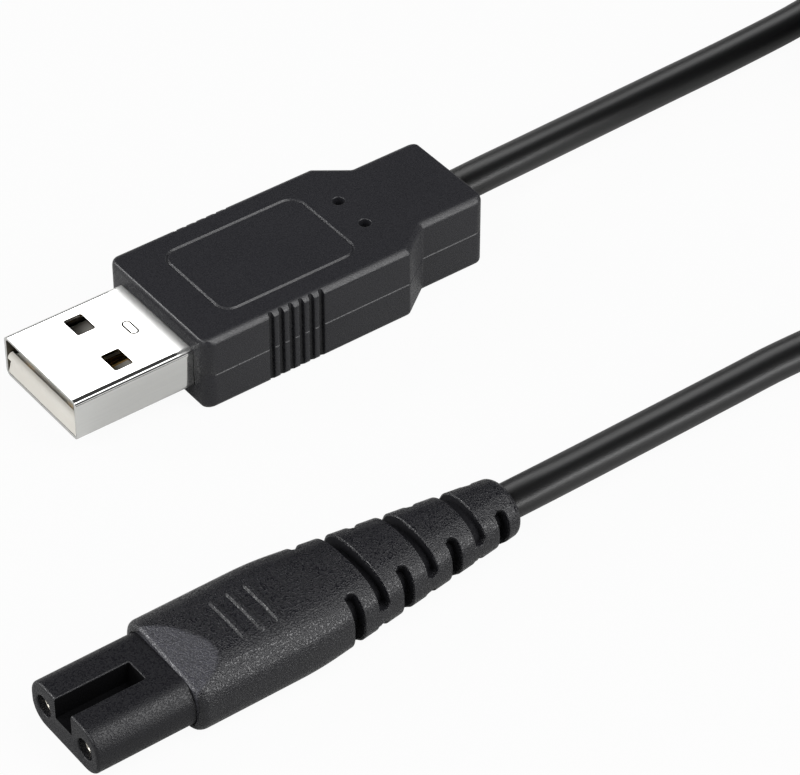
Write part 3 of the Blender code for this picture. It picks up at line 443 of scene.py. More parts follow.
def punch(target, outline, low, high):
    """Cut an upright hole with a plan outline between two heights."""
    carve(target, loft("punch", [plan_ring(outline, z) for z in (low, high)]))


def rounded_edge(radius, steps):
    """Insets and setbacks down a quarter-round edge, from its face to where it meets the side."""
    angles = [math.pi / 2 * (step / steps) for step in range(steps + 1)]
    return [(radius * (1 - math.sin(angle)), radius * (1 - math.cos(angle))) for angle in angles]


def flared_cutter(name, outline, floor, top, rim):
    """Upright cutter whose mouth widens in a quarter round, so that the cut gets a rounded rim.

    The outline is a function of how much it has grown, and gives points (x, y)."""
    mouth = [(grown, top - drop) for grown, drop in reversed(rounded_edge(rim, RIM_STEPS))]
    levels = [(0.0, floor), *mouth, (rim, top + CUT_MARGIN)]
    return loft(name, [plan_ring(outline(grown), z) for grown, z in levels])


def smooth_route(points, spacing):
    """Read evenly spaced points from a smooth curve through the given points."""
    padded = [2 * points[0] - points[1], *points, 2 * points[-1] - points[-2]]
    curve = [points[0]]
    for p0, p1, p2, p3 in zip(padded, padded[1:], padded[2:], padded[3:]):
        count = max(1, round((p2 - p1).length / spacing))
        for step in range(1, count + 1):
            t = step / count
            curve.append(0.5 * (
                2 * p1 + (p2 - p0) * t + (2 * p0 - 5 * p1 + 4 * p2 - p3) * t ** 2
                + (3 * p1 - p0 - 3 * p2 + p3) * t ** 3
            ))
    return curve


def coil_radius(turn):
    """Radius of the cord's middle: it spirals in, reverses during the climb, and spirals out again."""
    before_climb = min(turn, 2 * COIL_TURNS_A_LAYER + COIL_CLIMB_TURNS - turn, COIL_TURNS_A_LAYER)
    climbed = min(max(turn - COIL_TURNS_A_LAYER, 0.0), COIL_CLIMB_TURNS)
    in_climb = climbed - climbed ** 2 / COIL_CLIMB_TURNS
    return COIL_OUTER_RADIUS - COIL_TURN_PITCH * (before_climb + in_climb)


def tie_span():
    """Nearest and farthest X inside the tie: the coil's turns and a seat gap."""
    inside = coil_radius(COIL_TURNS_A_LAYER + COIL_CLIMB_TURNS / 2) - CORD_DIAMETER / 2
    near = math.sqrt(inside ** 2 - (TIE_WIDTH / 2) ** 2) - SEAT_GAP
    far = COIL_OUTER_RADIUS + CORD_DIAMETER / 2 + SEAT_GAP
    return COIL_CENTRE.x + near, COIL_CENTRE.x + far


def coil_lift(x):
    """Rise of the coil at a place: its far side leans on the tie and its near side on the table."""
    lowest_x = COIL_CENTRE.x - COIL_OUTER_RADIUS - CORD_DIAMETER / 2
    slope = (TIE_THICKNESS + SEAT_GAP) / (tie_span()[0] - lowest_x)
    return slope * (x - lowest_x)


def coil_points():
    """The spare length: it spirals in on the table, climbs a layer, and spirals out again."""
    total = 2 * COIL_TURNS_A_LAYER + COIL_CLIMB_TURNS
    count = round(total * COIL_POINTS_A_TURN)
    points = []
    for index in range(count + 1):
        turn = total * index / count
        angle = math.pi / 2 - 2 * math.pi * turn
        x = COIL_CENTRE.x + coil_radius(turn) * math.cos(angle)
        y = COIL_CENTRE.y + coil_radius(turn) * math.sin(angle)
        climb = min(max((turn - COIL_TURNS_A_LAYER) / COIL_CLIMB_TURNS, 0.0), 1.0)
        layer = climb * climb * (3 - 2 * climb)
        points.append(Vector((x, y, CORD_DIAMETER / 2 + coil_lift(x) + layer * COIL_LAYER_PITCH)))
    return points


def lead_points(inner_end, leave, route, coil_end):
    """From inside the connector straight out of its bore, then along the route to the coil."""
    start = inner_end + Vector((SEAT_GAP, 0.0, 0.0))
    square = coil_end - Vector((2 * CORD_DIAMETER, 0.0, 0.0))
    chosen = [Vector(point) * MM for point in route]
    return [start, *smooth_route([leave, *chosen, square, coil_end], CORD_POINT_SPACING)]


def cord_path():
    """The whole cord: USB lead, coil and trimmer lead in one run."""
    coil = coil_points()
    usb_inner = USB_PLACE + Vector((USB_INNER_END, 0.0, 0.0))
    usb_lead = lead_points(usb_inner, USB_CORD_EXIT, USB_LEAD_ROUTE, coil[0])
    trimmer_inner = TRIMMER_PLACE + Vector((TRIMMER_INNER_END, 0.0, 0.0))
    trimmer_leave = TRIMMER_PLACE + Vector((TRIMMER_REAR, 0.0, 0.0))
    trimmer_lead = lead_points(trimmer_inner, trimmer_leave, TRIMMER_LEAD_ROUTE, coil[-1])
    return usb_lead[:-1] + coil + trimmer_lead[-2::-1]


def begin_tree(name, **inputs):
    """A Geometry Nodes tree that takes a geometry and the named inputs, and those as sockets."""
    tree = bpy.data.node_groups.new(name, "GeometryNodeTree")
    for label, kind in {"Geometry": "Geometry", **inputs}.items():
        tree.interface.new_socket(label, in_out="INPUT", socket_type="NodeSocket" + kind)
    tree.interface.new_socket("Geometry", in_out="OUTPUT", socket_type="NodeSocketGeometry")
    return tree, add_node(tree, "NodeGroupInput").outputs


def end_tree(tree, geometry, material):
    """Make a tree's result real, give it its material and hand it out."""
    realized = add_node(tree, "GeometryNodeRealizeInstances", Geometry=geometry)
    finished = add_node(tree, "GeometryNodeSetMaterial", {"Material": material}, Geometry=realized)
    add_node(tree, "NodeGroupOutput", Geometry=finished)
    return tree


def run_tree(item, tree, **inputs):
    """Run a Geometry Nodes tree on an object, and replace the object by the plain mesh that it makes."""
    step = item.modifiers.new(tree.name, "NODES")
    step.node_group = tree
    for socket in tree.interface.items_tree:
        if socket.in_out == "INPUT" and socket.name in inputs:
            step[socket.identifier] = inputs[socket.name]
    mesh = evaluated_mesh(item)
    name = item.name
    bpy.data.objects.remove(item, do_unlink=True)
    mesh.name = name
    return add_object(name, mesh)


def sweep_tree(material):
    """Geometry Nodes: sweep a circle along a curve and keep where each point is along and round it."""
    tree, given = begin_tree("cord_sweep", Radius="Float", Sides="Int")
    along = add_node(tree, "GeometryNodeSplineParameter")
    line = add_node(
        tree, "GeometryNodeStoreNamedAttribute", {"data_type": "FLOAT", "domain": "POINT", "Name": "along"},
        Geometry=given["Geometry"], Value=along.outputs["Length"],
    )
    ring = add_node(
        tree, "GeometryNodeCurvePrimitiveCircle", Resolution=given["Sides"], Radius=given["Radius"]
    )
    spot = add_node(tree, "GeometryNodeInputPosition")
    profile = add_node(
        tree, "GeometryNodeStoreNamedAttribute",
        {"data_type": "FLOAT_VECTOR", "domain": "POINT", "Name": "round"},
        Geometry=ring, Value=spot,
    )
    tube = add_node(tree, "GeometryNodeCurveToMesh", {"Fill Caps": True}, Curve=line, Profile_Curve=profile)
    return end_tree(tree, tube, material)


def make_cord(path, material):
    """The cord's jacket, swept along its whole path."""
    curve = bpy.data.curves.new("cord_jacket", "CURVE")
    curve.dimensions = "3D"
    spline = curve.splines.new("POLY")
    spline.points.add(len(path) - 1)
    for spot, point in zip(spline.points, path):
        spot.co = (*point, 1.0)
    line = add_object("cord_jacket", curve)
    jacket = run_tree(line, sweep_tree(material), Radius=CORD_DIAMETER / 2, Sides=CORD_SIDES)
    jacket.data.shade_smooth()
    enrol(jacket, "cord_jacket", "cord_usb_lead", "cord_coil", "cord_trimmer_lead")
    return jacket


def inset_corners(corners, insets):
    """Move each side of an anticlockwise polygon inwards by its own distance; side n starts at corner n."""
    moved = []
    for index, corner in enumerate(corners):
        before = (corner - corners[index - 1]).normalized()
        after = (corners[(index + 1) % len(corners)] - corner).normalized()
        in_before = Vector((-before.y, before.x))
        in_after = Vector((-after.y, after.x))
        turn = in_before.dot(in_after)
        step_before = insets[index - 1] - turn * insets[index]
        step_after = insets[index] - turn * insets[index - 1]
        moved.append(corner + (in_before * step_before + in_after * step_after) / (1 - turn ** 2))
    return moved


def filleted(corners, radii):
    """Round every corner of a polygon with its own radius."""
    points = []
    for index, corner in enumerate(corners):
        to_before = (corners[index - 1] - corner).normalized()
        to_after = (corners[(index + 1) % len(corners)] - corner).normalized()
        half_angle = to_before.angle(to_after) / 2
        start = corner + to_before * radii[index] / math.tan(half_angle)
        end = corner + to_after * radii[index] / math.tan(half_angle)
        centre = corner + (to_before + to_after).normalized() * radii[index] / math.sin(half_angle)
        for step in range(ARC_STEPS + 1):
            chord = start.lerp(end, step / ARC_STEPS)
            points.append(centre + (chord - centre).normalized() * radii[index])
    return points


def usb_plan(share):
    """Plan of the USB overmould, its sides and ends drawn in by a share of their edge rounding."""
    front = SHELL_EXPOSED
    grip_end = front + USB_GRIP_LENGTH
    tail_start = grip_end + USB_NECK_LENGTH
    half = USB_WIDTH / 2
    tail_half = half - USB_NECK_STEP
    near = [(front, -half), (grip_end, -half), (tail_start, -tail_half), (USB_REAR, -tail_half)]
    far = [(x, -y) for x, y in reversed(near)]
    side, end = share * USB_SIDE_EDGE, share * USB_END_EDGE
    corners = inset_corners([Vector(point) for point in near + far], [side, side, side, end] * 2)
    radii = [USB_FRONT_CORNER - side, USB_NECK_CORNER, USB_NECK_CORNER + side, USB_TAIL_CORNER - side]
    return filleted(corners, radii + radii[::-1])


def usb_body():
    """Outer form of the USB overmould, with rounded edges and the mould's parting line round its middle."""
    half = USB_HEIGHT / 2
    upper = [(share, half - drop * USB_EDGE_DROP) for share, drop in rounded_edge(1.0, ARC_STEPS)]
    line_share = PARTING_LINE_DEPTH / USB_SIDE_EDGE
    middle = [(0.0, PARTING_LINE_WIDTH / 2), (line_share, 0.0), (0.0, -PARTING_LINE_WIDTH / 2)]
    cap = (1.0 + FLAT_CAP_INSET, half)
    levels = [cap, *upper, *middle, *((share, -z) for share, z in reversed(upper)), (cap[0], -half)]
    return loft("usb_grip", [plan_ring(usb_plan(share), z) for share, z in levels])


def groove_cutter():
    """Upright cutter for one groove on both sides, with a round bottom and rounded shoulders."""
    half = GROOVE_WIDTH / 2
    edge = [(-half - GROOVE_SHOULDER, -CUT_MARGIN)]
    edge += [(-half - inset, inward) for inset, inward in rounded_edge(GROOVE_SHOULDER, RIM_STEPS)]
    bottom = []
    for step in range(ARC_STEPS + 1):
        angle = math.pi * step / ARC_STEPS
        bottom.append((-half * math.cos(angle), GROOVE_DEPTH - half + half * math.sin(angle)))
    profile = edge + bottom + [(-x, inward) for x, inward in reversed(edge)]
    shape = bmesh.new()
    for side in (1, -1):
        outline = [(x, side * (USB_WIDTH / 2 - inward)) for x, inward in profile]
        skin(shape, [plan_ring(outline, z) for z in (-USB_HEIGHT, USB_HEIGHT)])
    return object_from("groove_cutter", shape)


def groove_tree(material):
    """Geometry Nodes: repeat a cutter along X and cut the row out of the grip."""
    tree, given = begin_tree("groove_row", Cutter="Object", Count="Int", First="Float", Pitch="Float")
    first = add_node(tree, "ShaderNodeCombineXYZ", X=given["First"])
    pitch = add_node(tree, "ShaderNodeCombineXYZ", X=given["Pitch"])
    row = add_node(tree, "GeometryNodeMeshLine", Count=given["Count"], Start_Location=first, Offset=pitch)
    cutter = add_node(tree, "GeometryNodeObjectInfo", Object=given["Cutter"])
    repeated = add_node(
        tree, "GeometryNodeInstanceOnPoints", Points=row, Instance=cutter.outputs["Geometry"]
    )
    cut = add_node(
        tree, "GeometryNodeMeshBoolean", {"operation": "DIFFERENCE", "solver": "EXACT"},
        Mesh_1=given["Geometry"], Mesh_2=repeated,
    )
    return end_tree(tree, cut, material)


def line_cutter(name, outline, top, width, depth):
    """Ring of V section that presses a line along a plan outline, given as a function of its growth."""
    half = width / 2
    above = top + CUT_MARGIN
    levels = ((half, above), (half, top), (0.0, top - depth), (-half, top), (-half, above))
    return loft(name, [plan_ring(outline(grown), z) for grown, z in levels], hollow=True)


def panel_outline(grown):
    """Plan of the USB grip's framed panel."""
    middle = SHELL_EXPOSED + PANEL_START + PANEL_LENGTH / 2
    size = (PANEL_LENGTH + 2 * grown, PANEL_WIDTH + 2 * grown, PANEL_CORNER + grown)
    return [(middle + x, y) for x, y in rounded_rectangle(*size)]


def disc_outline(x, y, diameter):
    """Outline of a round hole in plan, as a function of how much it has grown."""
    return lambda grown: [(x + p.y, y + p.z) for p in circle(0.0, diameter / 2 + grown, PIN_HOLE_SIDES)]


def make_usb_overmould(material):
    """Grip of the USB plug: ribbed sides, framed panel, core-pin holes, and hollow for shell and cord."""
    cutter = groove_cutter()
    grip = run_tree(
        usb_body(), groove_tree(material), Cutter=cutter, Count=GROOVE_COUNT,
        First=SHELL_EXPOSED + GROOVE_START, Pitch=GROOVE_PITCH,
    )
    bpy.data.objects.remove(cutter, do_unlink=True)

    top = USB_HEIGHT / 2
    carve(grip, line_cutter("panel_line", panel_outline, top, PANEL_LINE_WIDTH, PANEL_LINE_DEPTH))
    pin_x = SHELL_EXPOSED + PIN_HOLE_CENTRE
    for side in (1, -1):
        outline = disc_outline(pin_x, side * PIN_HOLE_SPACING / 2, PIN_HOLE_DIAMETER)
        carve(grip, flared_cutter("pin_hole", outline, top - PIN_HOLE_DEPTH, top, PIN_HOLE_RIM))
    pocket = (SHELL_WIDTH + 2 * FIT_GAP, SHELL_HEIGHT + 2 * FIT_GAP, SHELL_CORNER + FIT_GAP)
    pocket_ends = (SHELL_EXPOSED - CUT_MARGIN, USB_INNER_END + SEAT_GAP)
    carve(grip, loft("pocket", [section(x, *pocket) for x in pocket_ends]))
    bore = []
    for x in (USB_INNER_END, USB_REAR + CUT_MARGIN):
        share = (x - USB_INNER_END) / (USB_REAR - USB_INNER_END)
        aside, rise = share * USB_CORD_ASIDE, share * USB_CORD_RISE
        bore.append(circle(x, CORD_DIAMETER / 2 + FIT_GAP, BORE_SIDES, aside, rise))
    carve(grip, loft("bore", bore))
    grip.data.transform(Matrix.Translation(USB_PLACE))
    return finish_piece(grip, material, "overmould", "usb_overmould")


def detent_outline(grown):
    """Plan of the shell's detent, a rectangle with fully rounded ends."""
    length, width = DETENT_LENGTH + 2 * grown, DETENT_WIDTH + 2 * grown
    return [(DETENT_CENTRE_X + x, y) for x, y in rounded_rectangle(length, width, length / 2)]


def make_usb_shell(material, inside):
    """Folded shell: rolled lip, two latch windows above and below, pressed detent, seam underneath."""
    outer = Vector((SHELL_WIDTH, SHELL_HEIGHT, SHELL_CORNER))
    inner = Vector((SHELL_WIDTH - 2 * SHELL_WALL, SHELL_HEIGHT - 2 * SHELL_WALL, SHELL_INNER_CORNER))
    rings = [section(SHELL_LENGTH, *outer)]
    for step in range(EDGE_STEPS + 1):
        share = step / EDGE_STEPS
        rings.append(section(SHELL_LIP * (1 - math.sin(math.pi * share)), *outer.lerp(inner, share)))
    rings.append(section(SHELL_LENGTH, *inner))
    shell = loft("usb_shell_plated", rings, hollow=True)
    for side in (1, -1):
        window = rounded_rectangle(WINDOW_LENGTH, WINDOW_WIDTH, WINDOW_CORNER)
        outline = [(WINDOW_CENTRE_X + x, side * WINDOW_SPACING / 2 + y) for x, y in window]
        punch(shell, outline, -SHELL_HEIGHT, SHELL_HEIGHT)
    top = SHELL_HEIGHT / 2
    carve(shell, line_cutter("detent", detent_outline, top, DETENT_LINE_WIDTH, DETENT_LINE_DEPTH))
    seam = rectangle((-CUT_MARGIN, -SEAM_WIDTH / 2), (SHELL_LENGTH + CUT_MARGIN, SEAM_WIDTH / 2))
    punch(shell, seam, -SHELL_HEIGHT, -top / 2)
    shell.data.transform(Matrix.Translation(USB_PLACE))
    finish_piece(shell, material, "nickel_shell", "usb_shell")

    # Faces inside the shell and in the detent's line take the darker steel: painted shade
    def in_painted_shade(point):
        within = abs(point.y) < inner.x / 2 + INSIDE_MARGIN and abs(point.z) < inner.y / 2 + INSIDE_MARGIN
        near_detent = abs(point.x - DETENT_CENTRE_X) < DETENT_LENGTH and abs(point.y) < DETENT_WIDTH
        pressed = near_detent and INSIDE_MARGIN < top - point.z < SHELL_WALL / 2
        return within and point.x > SHELL_LIP or pressed

    paint_recess_shade(shell, USB_PLACE, inside, in_painted_shade)
    return shell


def make_usb_tongue(material):
    """Insulator: the tongue on the shell's lower wall with seats for the contacts, and the header behind."""
    bottom = SHELL_WALL + FIT_GAP - SHELL_HEIGHT / 2
    top = SHELL_WALL + SEAT_GAP - SHELL_HEIGHT / 2 + TONGUE_THICKNESS
    outline = [(TONGUE_FRONT, bottom), (SHELL_LENGTH, bottom), (SHELL_LENGTH, -bottom),
               (HEADER_START, -bottom), (HEADER_START, top)]
    for inset, drop in reversed(rounded_edge(TONGUE_EDGE, EDGE_STEPS)):
        outline.append((TONGUE_FRONT + inset, top - drop))
    half = SHELL_WIDTH / 2 - SHELL_WALL - FIT_GAP
    sides = [[Vector((x, y, z)) for x, z in outline] for y in (-half, half)]
    tongue = loft("usb_tongue", sides, place=USB_PLACE)
    for contact in CONTACTS:
        low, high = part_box("usb_contact_" + contact)
        punch(tongue, rectangle(low, high), low[2], high[2] + SHELL_WALL)
    return finish_piece(tongue, material, "ivory_insulator", "usb_insulator")


def nose_size(step):
    """Width, height and corner radius of the nose, drawn in all round by a step."""
    return NOSE_WIDTH - 2 * step, NOSE_HEIGHT - 2 * step, NOSE_CORNER - step


def make_trimmer_nose(material, recess):
    """Keyed nose with two socket holes, and the waist and flange that the overmould holds."""
    edge = rounded_edge(NOSE_EDGE_ROUND, EDGE_STEPS)
    rings = [section(setback, *nose_size(inset)) for inset, setback in edge]
    for x, step in (
        (WAIST_START, 0.0), (WAIST_START, WAIST_STEP), (FLANGE_START, WAIST_STEP),
        (FLANGE_START, FLANGE_STEP), (NOSE_END, FLANGE_STEP),
    ):
        rings.append(section(x, *nose_size(step)))
    nose = loft("trimmer_nose_keyed", rings)

    def slot_outline(grown):
        size = (KEY_SLOT_LENGTH + CUT_MARGIN + 2 * grown, KEY_SLOT_WIDTH + 2 * grown, KEY_SLOT_CORNER + grown)
        middle = (KEY_SLOT_LENGTH - CUT_MARGIN) / 2
        return [(middle + x, y) for x, y in rounded_rectangle(*size)]

    top = NOSE_HEIGHT / 2
    carve(nose, flared_cutter("key_slot", slot_outline, top - KEY_SLOT_DEPTH, top, KEY_SLOT_RIM))
    for side in (1, -1):
        across = side * SOCKET_SPACING / 2
        radius = SOCKET_DIAMETER / 2 + FIT_GAP
        mouth = [(setback, grown) for grown, setback in rounded_edge(SOCKET_HOLE_RIM, RIM_STEPS)]
        steps = [(-CUT_MARGIN, SOCKET_HOLE_RIM), *mouth, (NOSE_END + CUT_MARGIN, 0.0)]
        rings = [circle(x, radius + grown, BORE_SIDES, across) for x, grown in steps]
        carve(nose, loft("socket_hole", rings))
    nose.data.transform(Matrix.Translation(TRIMMER_PLACE))
    finish_piece(nose, material, "nose", "trimmer_nose")
    # The key slot's faces take the near-black finish: painted shade
    paint_recess_shade(nose, TRIMMER_PLACE, recess, in_key_slot)
    return nose


def make_trimmer_socket(name, side, material):
    """Turned socket with a rounded mouth and a blind bore."""
    across = side * SOCKET_SPACING / 2
    wall = (SOCKET_DIAMETER - SOCKET_BORE) / 2
    steps = [(SOCKET_SETBACK + SOCKET_BORE_DEPTH, SOCKET_BORE / 2)]
    for step in range(EDGE_STEPS + 1):
        angle = math.pi * step / EDGE_STEPS
        radius = SOCKET_BORE / 2 + wall * (1 - math.cos(angle)) / 2
        steps.append((SOCKET_SETBACK + wall * (1 - math.sin(angle)) / 2, radius))
    steps.append((SOCKET_END, SOCKET_DIAMETER / 2))
    rings = [circle(x, radius, SOCKET_SIDES, across) for x, radius in steps]
    socket = loft("turned_" + name, rings, place=TRIMMER_PLACE)
    return finish_piece(socket, material, "socket_metal", name)


def relief_size(depth):
    """Width, rise, drop, corner and dome power at a depth: parallel body, eased start, straight taper."""
    body = (TRIMMER_WIDTH, TRIMMER_RISE, TRIMMER_DROP, TRIMMER_BODY_CORNER, TRIMMER_DOME_POWER)
    end = (RELIEF_END_WIDTH, RELIEF_END_RISE, RELIEF_END_DROP, RELIEF_END_CORNER, RELIEF_END_DOME_POWER)
    run = max(depth - TRIMMER_BODY_LENGTH, 0.0)
    full_run = TRIMMER_LENGTH - TRIMMER_BODY_LENGTH - TAPER_EASE / 2
    travelled = run * run / (2 * TAPER_EASE) if run < TAPER_EASE else run - TAPER_EASE / 2
    share = travelled / full_run
    return [start + (stop - start) * share for start, stop in zip(body, end)]


def domed_outline(width, rise, drop, corner, power):
    """Points (across, up) round a section with a domed top and a flat underside between round corners."""
    points = []
    for step in range(DOME_STEPS + 1):
        angle = math.pi * step / DOME_STEPS
        across = abs(math.cos(angle)) ** (2 / power)
        up = abs(math.sin(angle)) ** (2 / power)
        points.append((math.copysign(across, math.cos(angle)) * width / 2, up * rise))
    flat = width / 2 - corner
    shares = [step / UNDERSIDE_STEPS for step in range(UNDERSIDE_STEPS + 1)]
    for quarter, side in ((2, -1), (3, 1)):
        for share in shares:
            angle = math.pi / 2 * (quarter + share)
            across = side * flat + corner * math.cos(angle)
            points.append((across, corner - drop + corner * math.sin(angle)))
        if side < 0:
            points += [(flat * (2 * share - 1), -drop) for share in shares[1:-1]]
    return points


def soft_edge(outside, width):
    """1 well inside an edge and 0 well outside it, with a smooth change over the width."""
    share = min(max(0.5 - outside / width, 0.0), 1.0)
    return share * share * (3 - 2 * share)


def slot_depths():
    """Middles of the strain relief's slots, which lie by turns on its sides and on its top and bottom."""
    return [SLOT_FIRST + index * SLOT_HALF_PITCH for index in range(SLOT_COUNT)]


def grip_line_depths():
    """Middles of the grip lines."""
    return [GRIP_LINE_FIRST + index * GRIP_LINE_PITCH for index in range(GRIP_LINE_COUNT)]


def sunk_in(depth, y, z):
    """How far the slots sink the overmould's surface at a point, and the grip lines raise it."""
    sunk = 0.0
    for index, middle in enumerate(slot_depths()):
        along = abs(depth - middle)
        if along > SIDE_SLOT_WIDTH + SLOT_BEVEL:
            continue
        width, rise, drop, *_ = relief_size(middle)
        if index % 2 == 0:
            inner_end = width / 2 * (1 - SIDE_SLOT_REACH) + SIDE_SLOT_WIDTH / 2
            outside = math.hypot(along, max(inner_end - abs(y), 0.0)) - SIDE_SLOT_WIDTH / 2
            thickness = (width - CORD_DIAMETER) / 2
        else:
            end_height = (TOP_SLOT_END if z > 0 else UNDER_SLOT_END) + TOP_SLOT_WIDTH / 2
            outside = math.hypot(along, max(end_height - abs(z), 0.0)) - TOP_SLOT_WIDTH / 2
            thickness = (rise if z > 0 else drop) - CORD_DIAMETER / 2
        full = min(SLOT_DEPTH, thickness - FIT_GAP - SLOT_FLOOR_WALL)
        bevel = min(max(SLOT_BEVEL + SLOT_RIM / 2 - outside, 0.0), SLOT_BEVEL)
        sunk = max(sunk, bevel + (full - SLOT_BEVEL) * soft_edge(outside, SLOT_RIM))
    for middle in grip_line_depths():
        beyond = max(abs(y + GRIP_LINE_ASIDE) - (GRIP_LINE_LENGTH - GRIP_LINE_WIDTH) / 2, 0.0)
        outside = math.hypot(depth - middle, beyond) - GRIP_LINE_WIDTH / 2
        if z > 0:
            sunk -= GRIP_LINE_RISE * soft_edge(outside, GRIP_LINE_RIM)
    return sunk


def facet_level(depth, y):
    """Height of the thumb facet, which falls from the dome's top to the lip and leans to the near side."""
    return TRIMMER_RISE - THUMB_FACET_DROP * (1 - depth / THUMB_FACET_LENGTH) + THUMB_FACET_LEAN * y


def dome_height(depth, y):
    """Height of the domed top without the thumb facet."""
    width, rise, _, _, power = relief_size(depth)
    return rise * max(1 - abs(2 * y / width) ** power, 0.0) ** (1 / power)


def relief_ring(depth, inset, side_inset=None):
    """One ring of the overmould's outside: domed top, thumb facet, slots and grip lines."""
    width, rise, drop, corner, power = relief_size(depth)
    half_width = width / 2 - (inset if side_inset is None else side_inset)
    outline = domed_outline(2 * half_width, rise - inset, drop - inset, corner - inset, power)
    ring = []
    for index, (y, z) in enumerate(outline):
        before, after = outline[index - 1], outline[(index + 1) % len(outline)]
        inward = Vector((before[1] - after[1], after[0] - before[0])).normalized()
        sunk = sunk_in(depth, y, z)
        y += inward.x * sunk
        z += inward.y * sunk
        ring.append(Vector((NOSE_EXPOSED + depth, y, min(z, facet_level(depth, y) - inset))))
    return ring


def relief_rows():
    """Places of the rings along the body, close together where a slot or a grip line needs them."""
    reach = SIDE_SLOT_WIDTH / 2 + SLOT_RIM + SLOT_BEVEL
    fine = [(middle - reach, middle + reach) for middle in slot_depths()]
    fine += [(middle - GRIP_LINE_WIDTH, middle + GRIP_LINE_WIDTH) for middle in grip_line_depths()]
    rows = [LIP_PLAN_ROUND]
    end = TRIMMER_LENGTH - END_ROUND
    while rows[-1] < end - BODY_ROW_STEP:
        near_detail = any(start - DETAIL_ROW_STEP < rows[-1] < stop for start, stop in fine)
        rows.append(rows[-1] + (DETAIL_ROW_STEP if near_detail else BODY_ROW_STEP))
    return rows + [end]


def make_trimmer_overmould(material, recess):
    """Grip that tapers into a slotted strain relief round the cord, hollow for the nose and the cord."""
    rings = []
    for side_inset, depth in rounded_edge(LIP_PLAN_ROUND, ARC_STEPS):
        rings.append(relief_ring(depth, max(LIP_EDGE - depth, 0.0), side_inset))
    rings += [relief_ring(depth, 0.0) for depth in relief_rows()[1:]]
    for inset, setback in rounded_edge(END_ROUND, ARC_STEPS)[-2::-1]:
        rings.append(relief_ring(TRIMMER_LENGTH - setback, inset))
    bore = CORD_DIAMETER / 2 + FIT_GAP
    inner_end = TRIMMER_INNER_END + SEAT_GAP
    rings.append(around(TRIMMER_REAR, rings[-1], lambda direction: bore))
    rings.append(around(inner_end, rings[-1], lambda direction: bore))
    rings.append(around(inner_end, rings[-1], pocket_reach))
    rings.append(around(NOSE_EXPOSED, rings[-1], pocket_reach))
    mould = loft("trimmer_grip", rings, hollow=True)
    # Mark of the thumb facet, where the material paints a highlight
    facet = mould.data.attributes.new("thumb_facet", "FLOAT", "POINT")
    for point, mark in zip(mould.data.vertices, facet.data):
        depth, y, z = point.co.x - NOSE_EXPOSED, point.co.y, point.co.z
        if z > 0:
            mark.value = min(max((dome_height(depth, y) - facet_level(depth, y)) / FACET_EDGE, 0.0), 1.0)
    mould.data.transform(Matrix.Translation(TRIMMER_PLACE))
    finish_piece(mould, material, "overmould", "trimmer_overmould")
    # The slots' faces take the matt, barely shiny finish: painted shade
    paint_recess_shade(mould, TRIMMER_PLACE, recess, in_slot)
    return mould


def in_slot(point):
    """Whether a point of the overmould lies well below its outside, in a slot."""
    depth = point.x - NOSE_EXPOSED
    if not SLOT_FIRST - SIDE_SLOT_WIDTH < depth < TRIMMER_LENGTH - END_ROUND:
        return False
    width, rise, drop, corner, power = relief_size(depth)
    half_width, rise, drop = width / 2 - RECESS_DEPTH, rise - RECESS_DEPTH, drop - RECESS_DEPTH
    if point.z > 0:
        return abs(point.y / half_width) ** power + (point.z / rise) ** power < 1
    beyond_y, beyond_z = abs(point.y) - half_width + corner, -point.z - drop + corner
    if beyond_y > 0 and beyond_z > 0:
        return math.hypot(beyond_y, beyond_z) < corner
    return beyond_y < corner and beyond_z < corner


def in_key_slot(point):
    """Whether a point of the nose lies on the walls or the floor of its key slot."""
    return (
        abs(point.y) < KEY_SLOT_WIDTH / 2 + FIT_GAP and 0.0 < point.x < KEY_SLOT_LENGTH + FIT_GAP
        and NOSE_HEIGHT / 2 - KEY_SLOT_DEPTH - FIT_GAP < point.z < NOSE_HEIGHT / 2 - KEY_SLOT_RIM
    )


def paint_recess_shade(item, place, material, inside):
    """Give the faces inside a recess their own darker-looking finish: painted shade."""
    item.data.materials.append(material)
    for face in item.data.polygons:
        face.material_index = int(inside(face.center - place))


def pocket_reach(direction):
    """Distance from the axis to the nose's pocket in a direction (across, up)."""
    width, height, corner = nose_size(-FIT_GAP)
    flat_y, flat_z = width / 2 - corner, height / 2 - corner
    across, up = abs(direction.x), abs(direction.y)
    if across * height / 2 > up * width / 2 and up * width / 2 < across * flat_z:
        return width / 2 / across
    if across * height / 2 < up * flat_y:
        return height / 2 / up
    middle = across * flat_y + up * flat_z
    return middle + math.sqrt(middle ** 2 - flat_y ** 2 - flat_z ** 2 + corner ** 2)


def around(x, ring, reach):
    """A closed line whose points lie in the same directions as a ring's, at their reach from the axis."""
    points = []
    for point in ring:
        direction = Vector((point.y, point.z)).normalized()
        points.append(Vector((x, *(direction * reach(direction)))))
    return points


def make_tie(material):
    """Woven strap round one side of the coil: a closed band with soft edges."""
    near, far = tie_span()
    coil_top = CORD_DIAMETER + coil_lift(far) + COIL_LAYER_PITCH
    top = coil_top + SEAT_GAP
    middle = Vector(((near + far) / 2, COIL_CENTRE.y, (top + TIE_THICKNESS) / 2))
    half = TIE_WIDTH / 2
    edge = TIE_THICKNESS / 2
    rings = []
    for across, out in (
        (-half, edge), (edge - half, 2 * edge), (half - edge, 2 * edge),
        (half, edge), (half - edge, 0.0), (edge - half, 0.0),
    ):
        band = rounded_rectangle(far - near + 2 * out, top - TIE_THICKNESS + 2 * out, TIE_CORNER + out)
        rings.append([middle + Vector((x, across, z)) for x, z in band])
    strap = loft("woven_tie", rings, hollow=True)
    return finish_piece(strap, material, "tie", "cord_tie")


